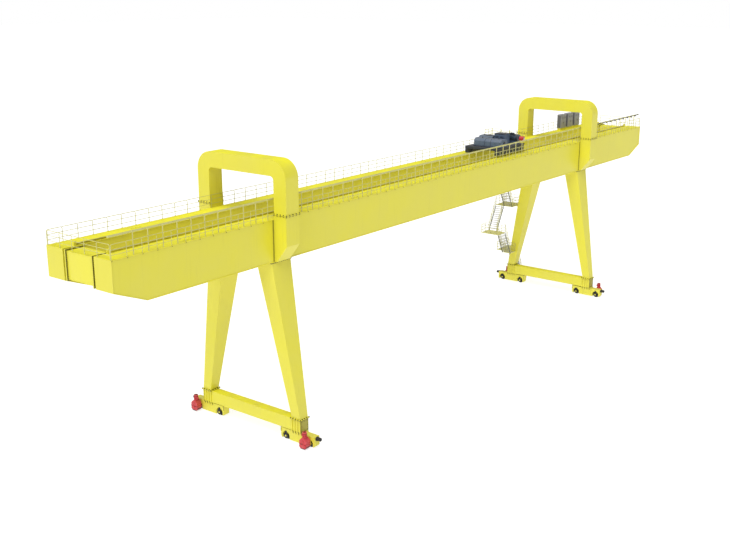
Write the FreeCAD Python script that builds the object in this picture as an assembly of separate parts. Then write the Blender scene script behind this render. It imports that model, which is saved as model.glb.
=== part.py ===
import FreeCAD, Part
import math
import os

# A half-size model of a double-girder gantry crane. Every size below is the model's own, in millimetres.
# X runs along the girders, Y across them (front is -Y), Z up. The origin is on the ground at mid-span,
# midway between the two girders.

# Overall arrangement
girder_top_height = 8510.0
portal_spacing = 24000.0
girder_gap = 1560.0

# Box girders: flange plates all round, webs set in from the flange edges
girder_length = 39000.0
girder_width = 840.0
girder_depth = 1560.0
girder_end_depth = 1045.0
girder_end_taper = 1300.0
girder_flange_thickness = 16.0
girder_web_inset = 22.0

# End beams that tie the girders together, bolted between flange plates
end_beam_width = 700.0
end_joint_plate_thickness = 20.0
end_joint_plate_margin = 55.0
end_joint_stub_length = 90.0

# Trolley rails on top of the girders
rail_foot_width = 64.0
rail_head_width = 36.0
rail_web_width = 14.0
rail_height = 70.0
rail_foot_height = 12.0
rail_head_height = 22.0
rail_edge_distance = 52.0
rail_stop_length = 90.0
rail_stop_height = 150.0
rail_stop_end_distance = 560.0

# Portal arches over the girders
arch_section_width = 666.0
arch_section_depth = 590.0
arch_height = 2130.0
arch_outer_radius = 680.0
arch_inner_radius = 150.0
arch_foot_height = 180.0
arch_flange_thickness = 20.0
arch_flange_margin = 28.0

# Side brackets that carry the arches on the girder webs
bracket_width = 690.0
bracket_straight_drop = 1100.0
bracket_toe = 110.0

# Tapered legs
leg_top_width = 1000.0
leg_top_depth = 765.0
leg_top_inset = 10.0
leg_foot_width = 430.0
leg_foot_depth = 411.0
leg_foot_reach = 951.0
leg_flange_thickness = 30.0
leg_flange_margin = 26.0
leg_foot_flange_margin = 48.0

# Sill beams between the feet of each portal
sill_width = 380.0
sill_depth = 480.0
sill_top_height = 981.0
sill_end_plate_thickness = 20.0
sill_end_plate_margin = 24.0
sill_rib_thickness = 14.0
sill_rib_reach = 36.0
sill_rib_count = 4

# Bogies
bogie_length = 1650.0
bogie_width = 300.0
bogie_bottom_height = 48.0
bogie_top_height = 455.0
bogie_end_chamfer = 60.0
bogie_side_plate_thickness = 30.0
bogie_wheel_window_clearance = 14.0
bogie_inner_clearance = 12.0
bogie_pedestal_length = 560.0
bogie_pedestal_width = 340.0
bearing_arm_width = 96.0
bearing_housing_radius = 74.0

# Travel wheels, double flanged, turning with their axles
wheel_base = 1160.0
wheel_tread_radius = 150.0
wheel_flange_radius = 162.0
wheel_tread_width = 74.0
wheel_flange_width = 18.0
wheel_hub_radius = 62.0
wheel_hub_gap = 8.0
axle_radius = 32.0
axle_running_clearance = 0.08
axle_end_proud = 6.0

# Buffers on the outer bogie ends
buffer_radius = 70.0
buffer_length = 150.0
buffer_cup_radius = 84.0
buffer_cup_length = 40.0
buffer_height = 385.0

# Travel drives on the outer wheel of each bogie: gearbox on the axle with an upright motor
drive_gearbox_width = 330.0
drive_gearbox_height = 430.0
drive_gearbox_thickness = 240.0
drive_gearbox_corner = 120.0
drive_standoff = 80.0
drive_inward_shift = 50.0
drive_axle_offset = 110.0
drive_motor_radius = 78.0
drive_motor_length = 180.0
drive_neck_radius = 52.0
drive_neck_length = 30.0
drive_cap_radius = 84.0
drive_cap_length = 60.0

# Handrails along the girders and across their ends
rail_panel_pitch = 600.0
handrail_height = 500.0
handrail_bar = 22.0
handrail_levels = 3
handrail_edge_distance = 14.0
end_handrail_bays = 5

# Cable track on posts along the front girder
cable_track_height = 740.0
cable_post_width = 24.0
cable_arm_length = 140.0
cable_track_width = 40.0
cable_track_depth = 56.0

# Electrical cabinets on the rear girder
cabinet_count = 3
cabinet_first_x = 14900.0
cabinet_pitch = 860.0
cabinet_width = 600.0
cabinet_depth = 250.0
cabinet_height = 760.0
cabinet_plinth_height = 140.0
cabinet_plinth_inset = 30.0
cabinet_edge_distance = 140.0

# Trolley
trolley_centre_x = 5480.0
trolley_length = 2560.0
trolley_carriage_width = 170.0
trolley_carriage_bottom = 105.0
trolley_carriage_top = 425.0
trolley_cross_beam_width = 150.0
trolley_cross_beam_bottom = 330.0
trolley_deck_thickness = 12.0
trolley_deck_overhang = 40.0
trolley_wheel_base = 1900.0
trolley_wheel_tread_radius = 95.0
trolley_wheel_flange_radius = 105.0
trolley_wheel_tread_width = 46.0
trolley_wheel_flange_width = 12.0
trolley_wheel_rail_gap = 0.4
trolley_wheel_slot_clearance = 10.0
trolley_buffer_radius = 34.0
trolley_buffer_length = 70.0
drum_housing_length = 1520.0
drum_housing_width = 620.0
drum_housing_height = 400.0
drum_housing_x = -780.0
drum_housing_y = -220.0
drum_housing_corner = 110.0
gearbox_x = 120.0
gearbox_y = 445.0
gearbox_length = 600.0
gearbox_width = 756.0
gearbox_height = 410.0
gearbox_corner = 70.0
control_box_x = 120.0
control_box_y = -328.0
control_box_length = 500.0
control_box_width = 572.0
control_box_height = 558.0
control_box_corner = 40.0
motor_x = 700.0
motor_y = -615.0
motor_radius = 170.0
motor_length = 680.0
motor_axis_height = 310.0
motor_foot_width = 260.0
brake_radius = 106.0
brake_length = 224.0
brake_shaft_length = 54.0

# Stair tower beside the right rear leg
stair_lane_width = 520.0
stair_lane_gap = 40.0
stair_leg_clearance = 90.0
stair_angle = 62.5
stair_upper_rise = 1316.0
stair_lower_rise = 1350.0
stair_turn_x = 11185.0
stair_foot_gap = 60.0
stringer_depth = 70.0
stringer_thickness = 14.0
tread_pitch = 104.0
tread_depth = 88.0
tread_thickness = 10.0
platform_length = 790.0
platform_thickness = 30.0
bracket_platform_length = 430.0
leg_platform_length = 1115.0
foot_platform_end_x = 12700.0
foot_platform_leg_gap = 36.0
foot_platform_setback = 300.0
platform_beam_width = 60.0
platform_beam_depth = 70.0
platform_beam_spread = 130.0
stair_rail_height = 470.0
stair_rail_bar = 14.0
stair_rail_levels = 3
stair_post_pitch = 420.0
gate_bay = 49

# Values worked out from the sizes above
outer_web_y = girder_gap / 2 + girder_width
half_length = girder_length / 2
axle_height = wheel_flange_radius
girder_bottom_height = girder_top_height - girder_depth
sill_bottom_height = sill_top_height - sill_depth
leg_foot_outer_y = outer_web_y + leg_foot_reach
leg_foot_inner_y = leg_foot_outer_y - leg_foot_depth
leg_top_outer_y = outer_web_y - leg_top_inset
leg_top_inner_y = leg_top_outer_y - leg_top_depth
leg_top_height = girder_bottom_height - leg_flange_thickness
leg_foot_height = sill_top_height + leg_flange_thickness
bogie_centre_y = (leg_foot_outer_y + leg_foot_inner_y) / 2
rail_y = girder_gap / 2 + rail_edge_distance
rail_top_height = girder_top_height + rail_height
arch_outer_y = outer_web_y + arch_section_depth
arch_foot_z = girder_top_height + arch_foot_height
arch_top_z = girder_top_height + arch_height
deck_top_z = girder_top_height + trolley_carriage_top + trolley_deck_thickness
stair_tangent = math.tan(math.radians(stair_angle))
leg_slope = (leg_foot_outer_y - leg_top_outer_y) / (leg_top_height - leg_foot_height)


def box(x0, x1, y0, y1, z0, z1):
    """A block between two corners."""
    corner = FreeCAD.Vector(min(x0, x1), min(y0, y1), min(z0, z1))
    return Part.makeBox(abs(x1 - x0), abs(y1 - y0), abs(z1 - z0), corner)


def prism(points, direction):
    """A polygon swept in a straight line."""
    vectors = [FreeCAD.Vector(*point) for point in points]
    wire = Part.makePolygon(vectors + vectors[:1])
    return Part.Face(wire).extrude(FreeCAD.Vector(*direction))


def prism_along_y(points, y0, y1):
    """A polygon in the XZ plane, between two Y positions."""
    return prism([(x, y0, z) for x, z in points], (0, y1 - y0, 0))


def prism_along_x(points, x0, x1):
    """A polygon in the YZ plane, between two X positions."""
    return prism([(x0, y, z) for y, z in points], (x1 - x0, 0, 0))


def cylinder(radius, start, direction, length):
    """A round bar from a point along a direction."""
    return Part.makeCylinder(radius, length, FreeCAD.Vector(*start), FreeCAD.Vector(*direction))


def frustum(lower, upper):
    """A tapered block between two level rectangles, each (x0, x1, y0, y1, z)."""
    def ring(rectangle):
        x0, x1, y0, y1, z = rectangle
        return [FreeCAD.Vector(x, y, z) for x, y in ((x0, y0), (x1, y0), (x1, y1), (x0, y1))]

    bottom = ring(lower)
    top = ring(upper)
    quads = [bottom, top]
    for i in range(4):
        j = (i + 1) % 4
        quads.append([bottom[i], bottom[j], top[j], top[i]])
    faces = [Part.Face(Part.makePolygon(quad + quad[:1])) for quad in quads]
    solid = Part.Solid(Part.Shell(faces))
    if solid.Volume < 0:
        solid.reverse()
    return solid


def fuse(shapes):
    """One solid out of shapes that touch or overlap."""
    result = shapes[0].multiFuse(shapes[1:])
    return result.removeSplitter()


def mirror_y(shape):
    """The same shape on the other side of the XZ plane."""
    return shape.mirror(FreeCAD.Vector(0, 0, 0), FreeCAD.Vector(0, 1, 0))


def mirror_x(shape):
    """The same shape on the other side of the YZ plane."""
    return shape.mirror(FreeCAD.Vector(0, 0, 0), FreeCAD.Vector(1, 0, 0))


def save(name, shapes):
    """Write one node: a solid, or several solids that move together."""
    shape = shapes[0] if len(shapes) == 1 else Part.makeCompound(shapes)
    shape.exportStep("parts/" + name + ".step")


def girder_outline(inset):
    """The side outline of a girder, level on top, with its lower corners cut away."""
    x = half_length - inset
    top = girder_top_height - inset
    bottom = girder_bottom_height + inset
    end_bottom = girder_top_height - girder_end_depth + inset
    taper_x = half_length - girder_end_taper
    return [(-x, top), (x, top), (x, end_bottom), (taper_x, bottom), (-taper_x, bottom), (-x, end_bottom)]


def front_girder():
    """A closed box girder: web box inside a band of flange plate."""
    y0 = -outer_web_y
    y1 = -girder_gap / 2
    band = prism_along_y(girder_outline(0), y0, y1)
    core = prism_along_y(girder_outline(girder_flange_thickness), y0, y1)
    webs = prism_along_y(girder_outline(girder_flange_thickness / 2), y0 + girder_web_inset, y1 - girder_web_inset)
    return fuse([band.cut(core), webs])


def left_end_beam():
    """A box beam between the girders with a bolted plate pair at each end."""
    x0 = -half_length
    x1 = x0 + end_beam_width
    z0 = girder_top_height - girder_end_depth
    z1 = girder_top_height
    inner = girder_gap / 2
    margin = end_joint_plate_margin
    joint_y = inner - end_joint_stub_length
    web_y = inner + girder_web_inset
    beam = box(x0 + margin, x1, -web_y, web_y, z0 + margin, z1 - margin)
    plates = [
        box(x0, x1 + margin, side * joint_y, side * (joint_y - 2 * end_joint_plate_thickness), z0, z1)
        for side in (-1, 1)
    ]
    return fuse([beam] + plates)


def trolley_rail(side):
    """A crane rail along one girder."""
    y = side * rail_y
    z = girder_top_height
    half_foot = rail_foot_width / 2
    half_web = rail_web_width / 2
    half_head = rail_head_width / 2
    head_z = z + rail_height - rail_head_height
    foot_z = z + rail_foot_height
    top_z = z + rail_height
    profile = [
        (y - half_foot, z), (y + half_foot, z), (y + half_foot, foot_z), (y + half_web, foot_z),
        (y + half_web, head_z), (y + half_head, head_z), (y + half_head, top_z), (y - half_head, top_z),
        (y - half_head, head_z), (y - half_web, head_z), (y - half_web, foot_z), (y - half_foot, foot_z),
    ]
    end = half_length - rail_stop_end_distance
    return prism_along_x(profile, -end, end)


def rail_stop(side, end):
    """A stop block at the end of a trolley rail."""
    x = end * (half_length - rail_stop_end_distance)
    y = side * rail_y
    half = rail_foot_width / 2
    z = girder_top_height
    return box(x, x + end * rail_stop_length, y - half, y + half, z, z + rail_stop_height)


def arch(x):
    """A rounded portal arch of box section that stands on the side brackets."""
    z0 = arch_foot_z + arch_flange_thickness
    z1 = arch_top_z
    outer_y = arch_outer_y
    inner_y = outer_y - arch_section_depth
    inner_z = z1 - arch_section_depth
    x0 = x - arch_section_width / 2

    def half_turn(radius, y, z):
        """The two round corners of a hoop, as arcs from the left column to the right one."""
        offset = radius * (1 - math.sqrt(0.5))
        left = Part.Arc(
            FreeCAD.Vector(x0, -y, z - radius),
            FreeCAD.Vector(x0, -y + offset, z - offset),
            FreeCAD.Vector(x0, -y + radius, z),
        )
        right = Part.Arc(
            FreeCAD.Vector(x0, y - radius, z),
            FreeCAD.Vector(x0, y - offset, z - offset),
            FreeCAD.Vector(x0, y, z - radius),
        )
        return left, right

    def line(start, end):
        return Part.LineSegment(FreeCAD.Vector(x0, *start), FreeCAD.Vector(x0, *end)).toShape()

    outer_left, outer_right = half_turn(arch_outer_radius, outer_y, z1)
    inner_left, inner_right = half_turn(arch_inner_radius, inner_y, inner_z)
    edges = [
        line((-outer_y, z0), (-outer_y, z1 - arch_outer_radius)),
        outer_left.toShape(),
        line((-outer_y + arch_outer_radius, z1), (outer_y - arch_outer_radius, z1)),
        outer_right.toShape(),
        line((outer_y, z1 - arch_outer_radius), (outer_y, z0)),
        line((outer_y, z0), (inner_y, z0)),
        line((inner_y, z0), (inner_y, inner_z - arch_inner_radius)),
        inner_right.toShape(),
        line((inner_y - arch_inner_radius, inner_z), (-inner_y + arch_inner_radius, inner_z)),
        inner_left.toShape(),
        line((-inner_y, inner_z - arch_inner_radius), (-inner_y, z0)),
        line((-inner_y, z0), (-outer_y, z0)),
    ]
    hoop = Part.Face(Part.Wire(Part.__sortEdges__(edges))).extrude(FreeCAD.Vector(arch_section_width, 0, 0))
    margin = arch_flange_margin
    feet = [
        box(x0 - margin, x0 + arch_section_width + margin, side * inner_y, side * (outer_y + margin),
            z0 - arch_flange_thickness, z0)
        for side in (-1, 1)
    ]
    return fuse([hoop] + feet)


def bracket(x, side):
    """A box bracket on the outer web of a girder, deep at the web and cut back at the bottom."""
    web = outer_web_y - girder_web_inset
    outer = arch_outer_y
    top = arch_foot_z
    plate = arch_flange_thickness
    lip = girder_flange_thickness
    margin = arch_flange_margin
    x0 = x - bracket_width / 2
    x1 = x + bracket_width / 2
    below_flange = girder_top_height - lip
    above_flange = girder_bottom_height + lip
    profile = [
        (web, above_flange), (web, below_flange), (outer_web_y, below_flange), (outer_web_y, top - plate),
        (outer, top - plate), (outer, girder_top_height - bracket_straight_drop + arch_foot_height),
        (outer_web_y + bracket_toe, above_flange),
    ]
    body = prism_along_x([(side * y, z) for y, z in profile], x0, x1)
    seat = box(x - arch_section_width / 2 - margin, x + arch_section_width / 2 + margin,
               side * outer_web_y, side * (outer + margin), top - plate, top)
    return fuse([body, seat])


def leg(x, side):
    """A hollow-plate leg, wide at the girder and narrow at the sill, splayed outwards."""
    margin = leg_flange_margin
    foot_margin = leg_foot_flange_margin
    top = (x - leg_top_width / 2, x + leg_top_width / 2, leg_top_inner_y, leg_top_outer_y, leg_top_height)
    foot = (x - leg_foot_width / 2, x + leg_foot_width / 2, leg_foot_inner_y, leg_foot_outer_y, leg_foot_height)
    shaft = frustum(foot, top)
    top_plate = box(top[0] - margin, top[1] + margin, top[2] - margin, top[3] + margin,
                    leg_top_height, girder_bottom_height)
    foot_plate = box(foot[0] - foot_margin, foot[1] + foot_margin, foot[2] - foot_margin, foot[3] + foot_margin,
                     sill_top_height, leg_foot_height)
    solid = fuse([shaft, top_plate, foot_plate])
    return solid if side > 0 else mirror_y(solid)


def sill(x):
    """The beam between the feet of one portal, with an end plate and upright ribs under each leg."""
    half = sill_width / 2
    end_y = leg_foot_outer_y
    shapes = [box(x - half, x + half, -end_y, end_y, sill_bottom_height, sill_top_height)]
    margin = sill_end_plate_margin
    reach = sill_rib_reach
    for side in (-1, 1):
        y = side * end_y
        shapes.append(box(x - half - margin, x + half + margin, y, y + side * sill_end_plate_thickness,
                          sill_bottom_height, sill_top_height))
        pitch = leg_foot_depth / (sill_rib_count - 1)
        for i in range(sill_rib_count):
            centre = side * (leg_foot_inner_y + i * pitch)
            shift = sill_rib_thickness / 2
            shapes.append(box(x - half - reach, x + half + reach, centre - shift, centre + shift,
                              sill_bottom_height, sill_top_height))
    return fuse(shapes)


def wheel_positions():
    """The Y positions of a bogie's two wheels, inner then outer."""
    return bogie_centre_y - wheel_base / 2, bogie_centre_y + wheel_base / 2


def bogie_frame(x, side):
    """Two side plates under a top plate, with arched windows and a bearing arm at each wheel."""
    y = bogie_centre_y
    half = bogie_length / 2
    cut = bogie_end_chamfer
    z0 = bogie_bottom_height
    z1 = bogie_top_height
    profile = [
        (y - half, z0 + cut), (y - half + cut, z0), (y + half - cut, z0), (y + half, z0 + cut),
        (y + half, z1), (y - half, z1),
    ]
    x0 = x - bogie_width / 2
    x1 = x + bogie_width / 2
    body = prism_along_x(profile, x0, x1)
    wheel_half = wheel_tread_width / 2 + wheel_flange_width + bogie_inner_clearance
    window = wheel_flange_radius + bogie_wheel_window_clearance
    ceiling = axle_height + window
    arms = []
    for wheel_y in wheel_positions():
        body = body.cut(cylinder(window, (x0, wheel_y, axle_height), (1, 0, 0), bogie_width))
        body = body.cut(box(x0, x1, wheel_y - window, wheel_y + window, 0, axle_height))
        for end, direction in ((x0, 1), (x1, -1)):
            plate_x = end + direction * bogie_side_plate_thickness
            low = min(end, plate_x)
            arm = box(end, plate_x, wheel_y - bearing_arm_width / 2, wheel_y + bearing_arm_width / 2,
                      axle_height, ceiling + bogie_inner_clearance)
            hub = cylinder(bearing_housing_radius, (low, wheel_y, axle_height), (1, 0, 0),
                           bogie_side_plate_thickness)
            arms.append(arm.fuse(hub))
        pocket = box(x - wheel_half, x + wheel_half, wheel_y - window, wheel_y + window, 0, ceiling)
        body = body.cut(pocket)
    pedestal = box(x - bogie_pedestal_width / 2, x + bogie_pedestal_width / 2,
                   y - bogie_pedestal_length / 2, y + bogie_pedestal_length / 2, z1, sill_bottom_height)
    frame = fuse([body, pedestal] + arms)
    bore = axle_radius + axle_running_clearance
    for wheel_y in wheel_positions():
        frame = frame.cut(cylinder(bore, (x0, wheel_y, axle_height), (1, 0, 0), bogie_width))
    return frame if side > 0 else mirror_y(frame)


def travel_wheel(x, y):
    """A double-flanged wheel with its axle."""
    tread = wheel_tread_width
    flange = wheel_flange_width
    half = tread / 2 + flange
    hub_end = bogie_width / 2 - bogie_side_plate_thickness - wheel_hub_gap
    axle_end = bogie_width / 2 + axle_end_proud
    shapes = [
        cylinder(wheel_tread_radius, (x - half, y, axle_height), (1, 0, 0), 2 * half),
        cylinder(wheel_flange_radius, (x - half, y, axle_height), (1, 0, 0), flange),
        cylinder(wheel_flange_radius, (x + half - flange, y, axle_height), (1, 0, 0), flange),
        cylinder(wheel_hub_radius, (x - hub_end, y, axle_height), (1, 0, 0), 2 * hub_end),
        cylinder(axle_radius, (x - axle_end, y, axle_height), (1, 0, 0), 2 * axle_end),
    ]
    return fuse(shapes)


def buffer(x, side):
    """A rubber buffer in its cup on the outer end of a bogie."""
    y = side * (bogie_centre_y + bogie_length / 2)
    cup = cylinder(buffer_cup_radius, (x, y, buffer_height), (0, side, 0), buffer_cup_length)
    body = cylinder(buffer_radius, (x, y, buffer_height), (0, side, 0), buffer_cup_length + buffer_length)
    return fuse([cup, body])


def travel_drive(portal_side, side):
    """A gearbox on the outer wheel's axle, on the bogie's outward face, with an upright motor on top."""
    x = portal_side * portal_spacing / 2
    axle_y = side * wheel_positions()[1]
    y = axle_y - side * drive_inward_shift
    near_x = x + portal_side * (bogie_width / 2 + drive_standoff)
    far_x = near_x + portal_side * drive_gearbox_thickness
    half = drive_gearbox_width / 2
    z0 = axle_height - drive_axle_offset
    z1 = z0 + drive_gearbox_height
    corner = drive_gearbox_corner
    profile = [
        (y - half, z0 + corner / 2), (y - half + corner / 2, z0), (y + half - corner / 2, z0),
        (y + half, z0 + corner / 2), (y + half, z1 - corner), (y + half - corner, z1),
        (y - half + corner, z1), (y - half, z1 - corner),
    ]
    housing = prism_along_x(profile, near_x, far_x)
    socket_radius = axle_radius + axle_end_proud
    socket = cylinder(socket_radius, (near_x, axle_y, axle_height), (portal_side, 0, 0), drive_gearbox_thickness / 2)
    housing = housing.cut(socket)
    arm = box(x + portal_side * bogie_width / 2, near_x, axle_y - bearing_arm_width / 2,
              axle_y + bearing_arm_width / 2, axle_height + bearing_housing_radius, z1 - corner)
    centre_x = (near_x + far_x) / 2
    neck_z = z1 + drive_neck_length
    motor_z = neck_z + drive_motor_length
    neck = cylinder(drive_neck_radius, (centre_x, y, z1), (0, 0, 1), drive_neck_length)
    motor = cylinder(drive_motor_radius, (centre_x, y, neck_z), (0, 0, 1), drive_motor_length)
    cap = cylinder(drive_cap_radius, (centre_x, y, motor_z - drive_cap_length), (0, 0, 1), drive_cap_length)
    return fuse([housing, arm, neck, motor, cap])


def lattice_panel(length, bays, gate=None):
    """A straight railing in the XZ plane from x = 0, with a post at every bay and one bay left open as a gate."""
    bar = handrail_bar
    panel = box(-bar / 2, length + bar / 2, 0, bar, 0, handrail_height)
    pitch = length / bays
    rise = handrail_height / handrail_levels
    holes = []
    for i in range(bays):
        x0 = i * pitch + bar / 2
        x1 = (i + 1) * pitch - bar / 2
        if i == gate:
            holes.append(box(x0, x1, -bar, 2 * bar, -bar, handrail_height + bar))
            continue
        for level in range(handrail_levels):
            z0 = level * rise if level else -bar
            holes.append(box(x0, x1, -bar, 2 * bar, z0, (level + 1) * rise - bar))
    return panel.cut(Part.makeCompound(holes))


def girder_handrail(side):
    """The railing along the outer edge of one girder, with a gate at the stair on the rear one."""
    bays = round(girder_length / rail_panel_pitch)
    length = girder_length - 2 * handrail_edge_distance - handrail_bar
    panel = lattice_panel(length, bays, gate_bay if side > 0 else None)
    y = side * (outer_web_y - handrail_edge_distance)
    panel.translate(FreeCAD.Vector(-length / 2, min(y, y - side * handrail_bar), girder_top_height))
    return panel


def end_handrail(end):
    """The railing across one end of the crane, standing on both girders and the end beam."""
    bar = handrail_bar
    length = 2 * (outer_web_y - handrail_edge_distance - bar) - 3 * bar
    panel = lattice_panel(length, end_handrail_bays)
    panel.translate(FreeCAD.Vector(-length / 2, -bar / 2, girder_top_height))
    panel.rotate(FreeCAD.Vector(0, 0, 0), FreeCAD.Vector(0, 0, 1), 90)
    panel.translate(FreeCAD.Vector(end * (half_length - handrail_edge_distance - bar / 2), 0, 0))
    return panel


def cable_track():
    """Posts midway between the handrail posts, each with an arm that carries the cable track."""
    z0 = girder_top_height
    z1 = z0 + cable_track_height
    y_outer = -(outer_web_y - handrail_edge_distance)
    post_y = y_outer + handrail_bar
    post = cable_post_width
    arm_y = post_y + cable_arm_length
    track_z0 = z1 - cable_track_depth
    shapes = [box(-half_length + post, half_length - post, arm_y - cable_track_width, arm_y,
                  track_z0, z1)]
    count = round(girder_length / rail_panel_pitch) - 2
    start = -(count - 1) / 2 * rail_panel_pitch
    for i in range(count):
        x = start + i * rail_panel_pitch
        shapes.append(box(x - post / 2, x + post / 2, post_y, post_y + post, z0, z1))
        shapes.append(box(x - post / 2, x + post / 2, post_y, arm_y, z1 - post, z1))
    return fuse(shapes)


def cabinet(index):
    """One electrical cabinet on a recessed plinth."""
    x0 = cabinet_first_x + index * cabinet_pitch
    x1 = x0 + cabinet_width
    y1 = outer_web_y - cabinet_edge_distance
    y0 = y1 - cabinet_depth
    z0 = girder_top_height
    inset = cabinet_plinth_inset
    plinth = box(x0 + inset, x1 - inset, y0 + inset, y1 - inset, z0, z0 + cabinet_plinth_height)
    body = box(x0, x1, y0, y1, z0 + cabinet_plinth_height, z0 + cabinet_plinth_height + cabinet_height)
    return fuse([plinth, body])


def trolley_wheel_positions():
    """The four wheel centres of the trolley, as (x, y)."""
    return [
        (trolley_centre_x + end * trolley_wheel_base / 2, side * rail_y)
        for end in (-1, 1) for side in (-1, 1)
    ]


def trolley_frame():
    """Two end carriages over the rails, three cross beams, a deck, and buffers at the ends."""
    half = trolley_length / 2
    x0 = trolley_centre_x - half
    x1 = trolley_centre_x + half
    carriage = trolley_carriage_width / 2
    z0 = girder_top_height + trolley_carriage_bottom
    z1 = girder_top_height + trolley_carriage_top
    shapes = []
    for side in (-1, 1):
        y = side * rail_y
        shapes.append(box(x0, x1, y - carriage, y + carriage, z0, z1))
        for x, direction in ((x0, -1), (x1, 1)):
            shapes.append(cylinder(trolley_buffer_radius, (x, y, (z0 + z1) / 2), (direction, 0, 0),
                                   trolley_buffer_length))
    beam = trolley_cross_beam_width
    for x in (x0, trolley_centre_x - beam / 2, x1 - beam):
        shapes.append(box(x, x + beam, -rail_y, rail_y, girder_top_height + trolley_cross_beam_bottom, z1))
    reach = rail_y + carriage + trolley_deck_overhang
    shapes.append(box(x0, x1, -reach, reach, z1, deck_top_z))
    frame = fuse(shapes)
    slot_half = trolley_wheel_tread_width / 2 + trolley_wheel_flange_width + trolley_wheel_slot_clearance
    slot_reach = trolley_wheel_flange_radius + trolley_wheel_slot_clearance
    slot_top = min(trolley_axle_height() + slot_reach, z1 - trolley_deck_thickness)
    for x, y in trolley_wheel_positions():
        frame = frame.cut(box(x - slot_reach, x + slot_reach, y - slot_half, y + slot_half, z0, slot_top))
    return frame


def trolley_axle_height():
    """The height of the trolley's wheel axles."""
    return rail_top_height + trolley_wheel_rail_gap + trolley_wheel_tread_radius


def trolley_wheel(x, y):
    """A double-flanged trolley wheel on an axle held in its end carriage."""
    z = trolley_axle_height()
    half = trolley_wheel_tread_width / 2 + trolley_wheel_flange_width
    slot_half = half + trolley_wheel_slot_clearance
    flange = trolley_wheel_flange_width
    shapes = [
        cylinder(trolley_wheel_tread_radius, (x, y - half, z), (0, 1, 0), 2 * half),
        cylinder(trolley_wheel_flange_radius, (x, y - half, z), (0, 1, 0), flange),
        cylinder(trolley_wheel_flange_radius, (x, y + half - flange, z), (0, 1, 0), flange),
        cylinder(axle_radius, (x, y - slot_half, z), (0, 1, 0), 2 * slot_half),
    ]
    return fuse(shapes)


def deck_housing(centre_x, centre_y, length, width, height, corner):
    """A housing on the trolley deck with its two upper edges along Y cut at 45 degrees."""
    x = trolley_centre_x + centre_x
    half = length / 2
    z0 = deck_top_z
    z1 = z0 + height
    profile = [
        (x - half, z0), (x + half, z0), (x + half, z1 - corner), (x + half - corner, z1),
        (x - half + corner, z1), (x - half, z1 - corner),
    ]
    return prism_along_y(profile, centre_y - width / 2, centre_y + width / 2)


def hoist_motor():
    """The hoist motor on its foot, with the shaft end that carries the brake."""
    x = trolley_centre_x + motor_x
    z = deck_top_z + motor_axis_height
    y0 = motor_y - motor_length / 2
    foot = motor_foot_width / 2
    shapes = [
        cylinder(motor_radius, (x, y0, z), (0, 1, 0), motor_length),
        box(x - foot, x + foot, y0 + foot / 2, y0 + motor_length - foot / 2, deck_top_z, z),
        cylinder(axle_radius, (x, y0 - brake_shaft_length, z), (0, 1, 0), brake_shaft_length),
    ]
    return fuse(shapes)


def hoist_brake():
    """The brake drum on the free end of the hoist motor."""
    x = trolley_centre_x + motor_x
    y = motor_y - motor_length / 2 - brake_shaft_length
    return cylinder(brake_radius, (x, y - brake_length, deck_top_z + motor_axis_height), (0, 1, 0), brake_length)


def stair_levels():
    """The platform heights of the stair tower, from the girder top down."""
    levels = [girder_top_height]
    for rise in [stair_upper_rise] * 3 + [stair_lower_rise] * 2:
        levels.append(levels[-1] - rise)
    return levels


def leg_outer_y(z):
    """Where a leg's outer face is at a height."""
    return leg_top_outer_y + (leg_top_height - z) * leg_slope


def lane_y(lane):
    """The inner edge of a stair lane: lane 0 is next to the leg, lane 1 outside it."""
    return leg_outer_y(stair_levels()[3]) + stair_leg_clearance + lane * (stair_lane_width + stair_lane_gap)


def stair_outer_y():
    """The outer edge of the stair tower."""
    return lane_y(1) + stair_lane_width


def flights():
    """Each flight as (lane, top x, top z, foot x, foot z)."""
    levels = stair_levels()
    result = []
    for i in range(len(levels) - 1):
        run = (levels[i] - levels[i + 1]) / stair_tangent
        if i % 2 == 0:
            result.append((0, stair_turn_x - run, levels[i], stair_turn_x, levels[i + 1]))
        else:
            result.append((1, stair_turn_x, levels[i], stair_turn_x - run, levels[i + 1]))
    run = (levels[-1] - stair_foot_gap) / stair_tangent
    result.append((1, foot_platform_end_x, levels[-1], foot_platform_end_x + run, stair_foot_gap))
    return result


def stringer_sides(flight):
    """The Y positions of a flight's two stringers."""
    y = lane_y(flight[0])
    return y, y + stair_lane_width - stringer_thickness


def stringer(flight, y):
    """One side plate of a flight, upright at its head and level at its foot."""
    _, x0, z0, x1, z1 = flight
    direction = math.copysign(1, x1 - x0)
    depth = stringer_depth / math.cos(math.radians(stair_angle))
    foot_z = z1 - platform_thickness
    back_x = x0 + direction * (z0 - depth - foot_z) / stair_tangent
    profile = [(x0, z0), (x1, z1), (x1, foot_z), (back_x, foot_z), (x0, z0 - depth)]
    return prism_along_y(profile, y, y + stringer_thickness)


def treads(flight):
    """The treads of a flight, level plates between its stringers."""
    lane, x0, z0, x1, z1 = flight
    direction = math.copysign(1, x1 - x0)
    count = round((z0 - z1) / tread_pitch) - 1
    rise = (z0 - z1) / (count + 1)
    y0 = lane_y(lane) + stringer_thickness
    y1 = lane_y(lane) + stair_lane_width - stringer_thickness
    result = []
    for i in range(1, count + 1):
        z = z0 - i * rise
        nose = x0 + direction * i * rise / stair_tangent
        result.append(box(nose - direction * tread_depth, nose, y0, y1, z - tread_thickness, z))
    return result


def rail_levels(height):
    """The tops of the level rails of a railing, lowest first."""
    return [height * (i + 1) / stair_rail_levels for i in range(stair_rail_levels)]


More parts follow.
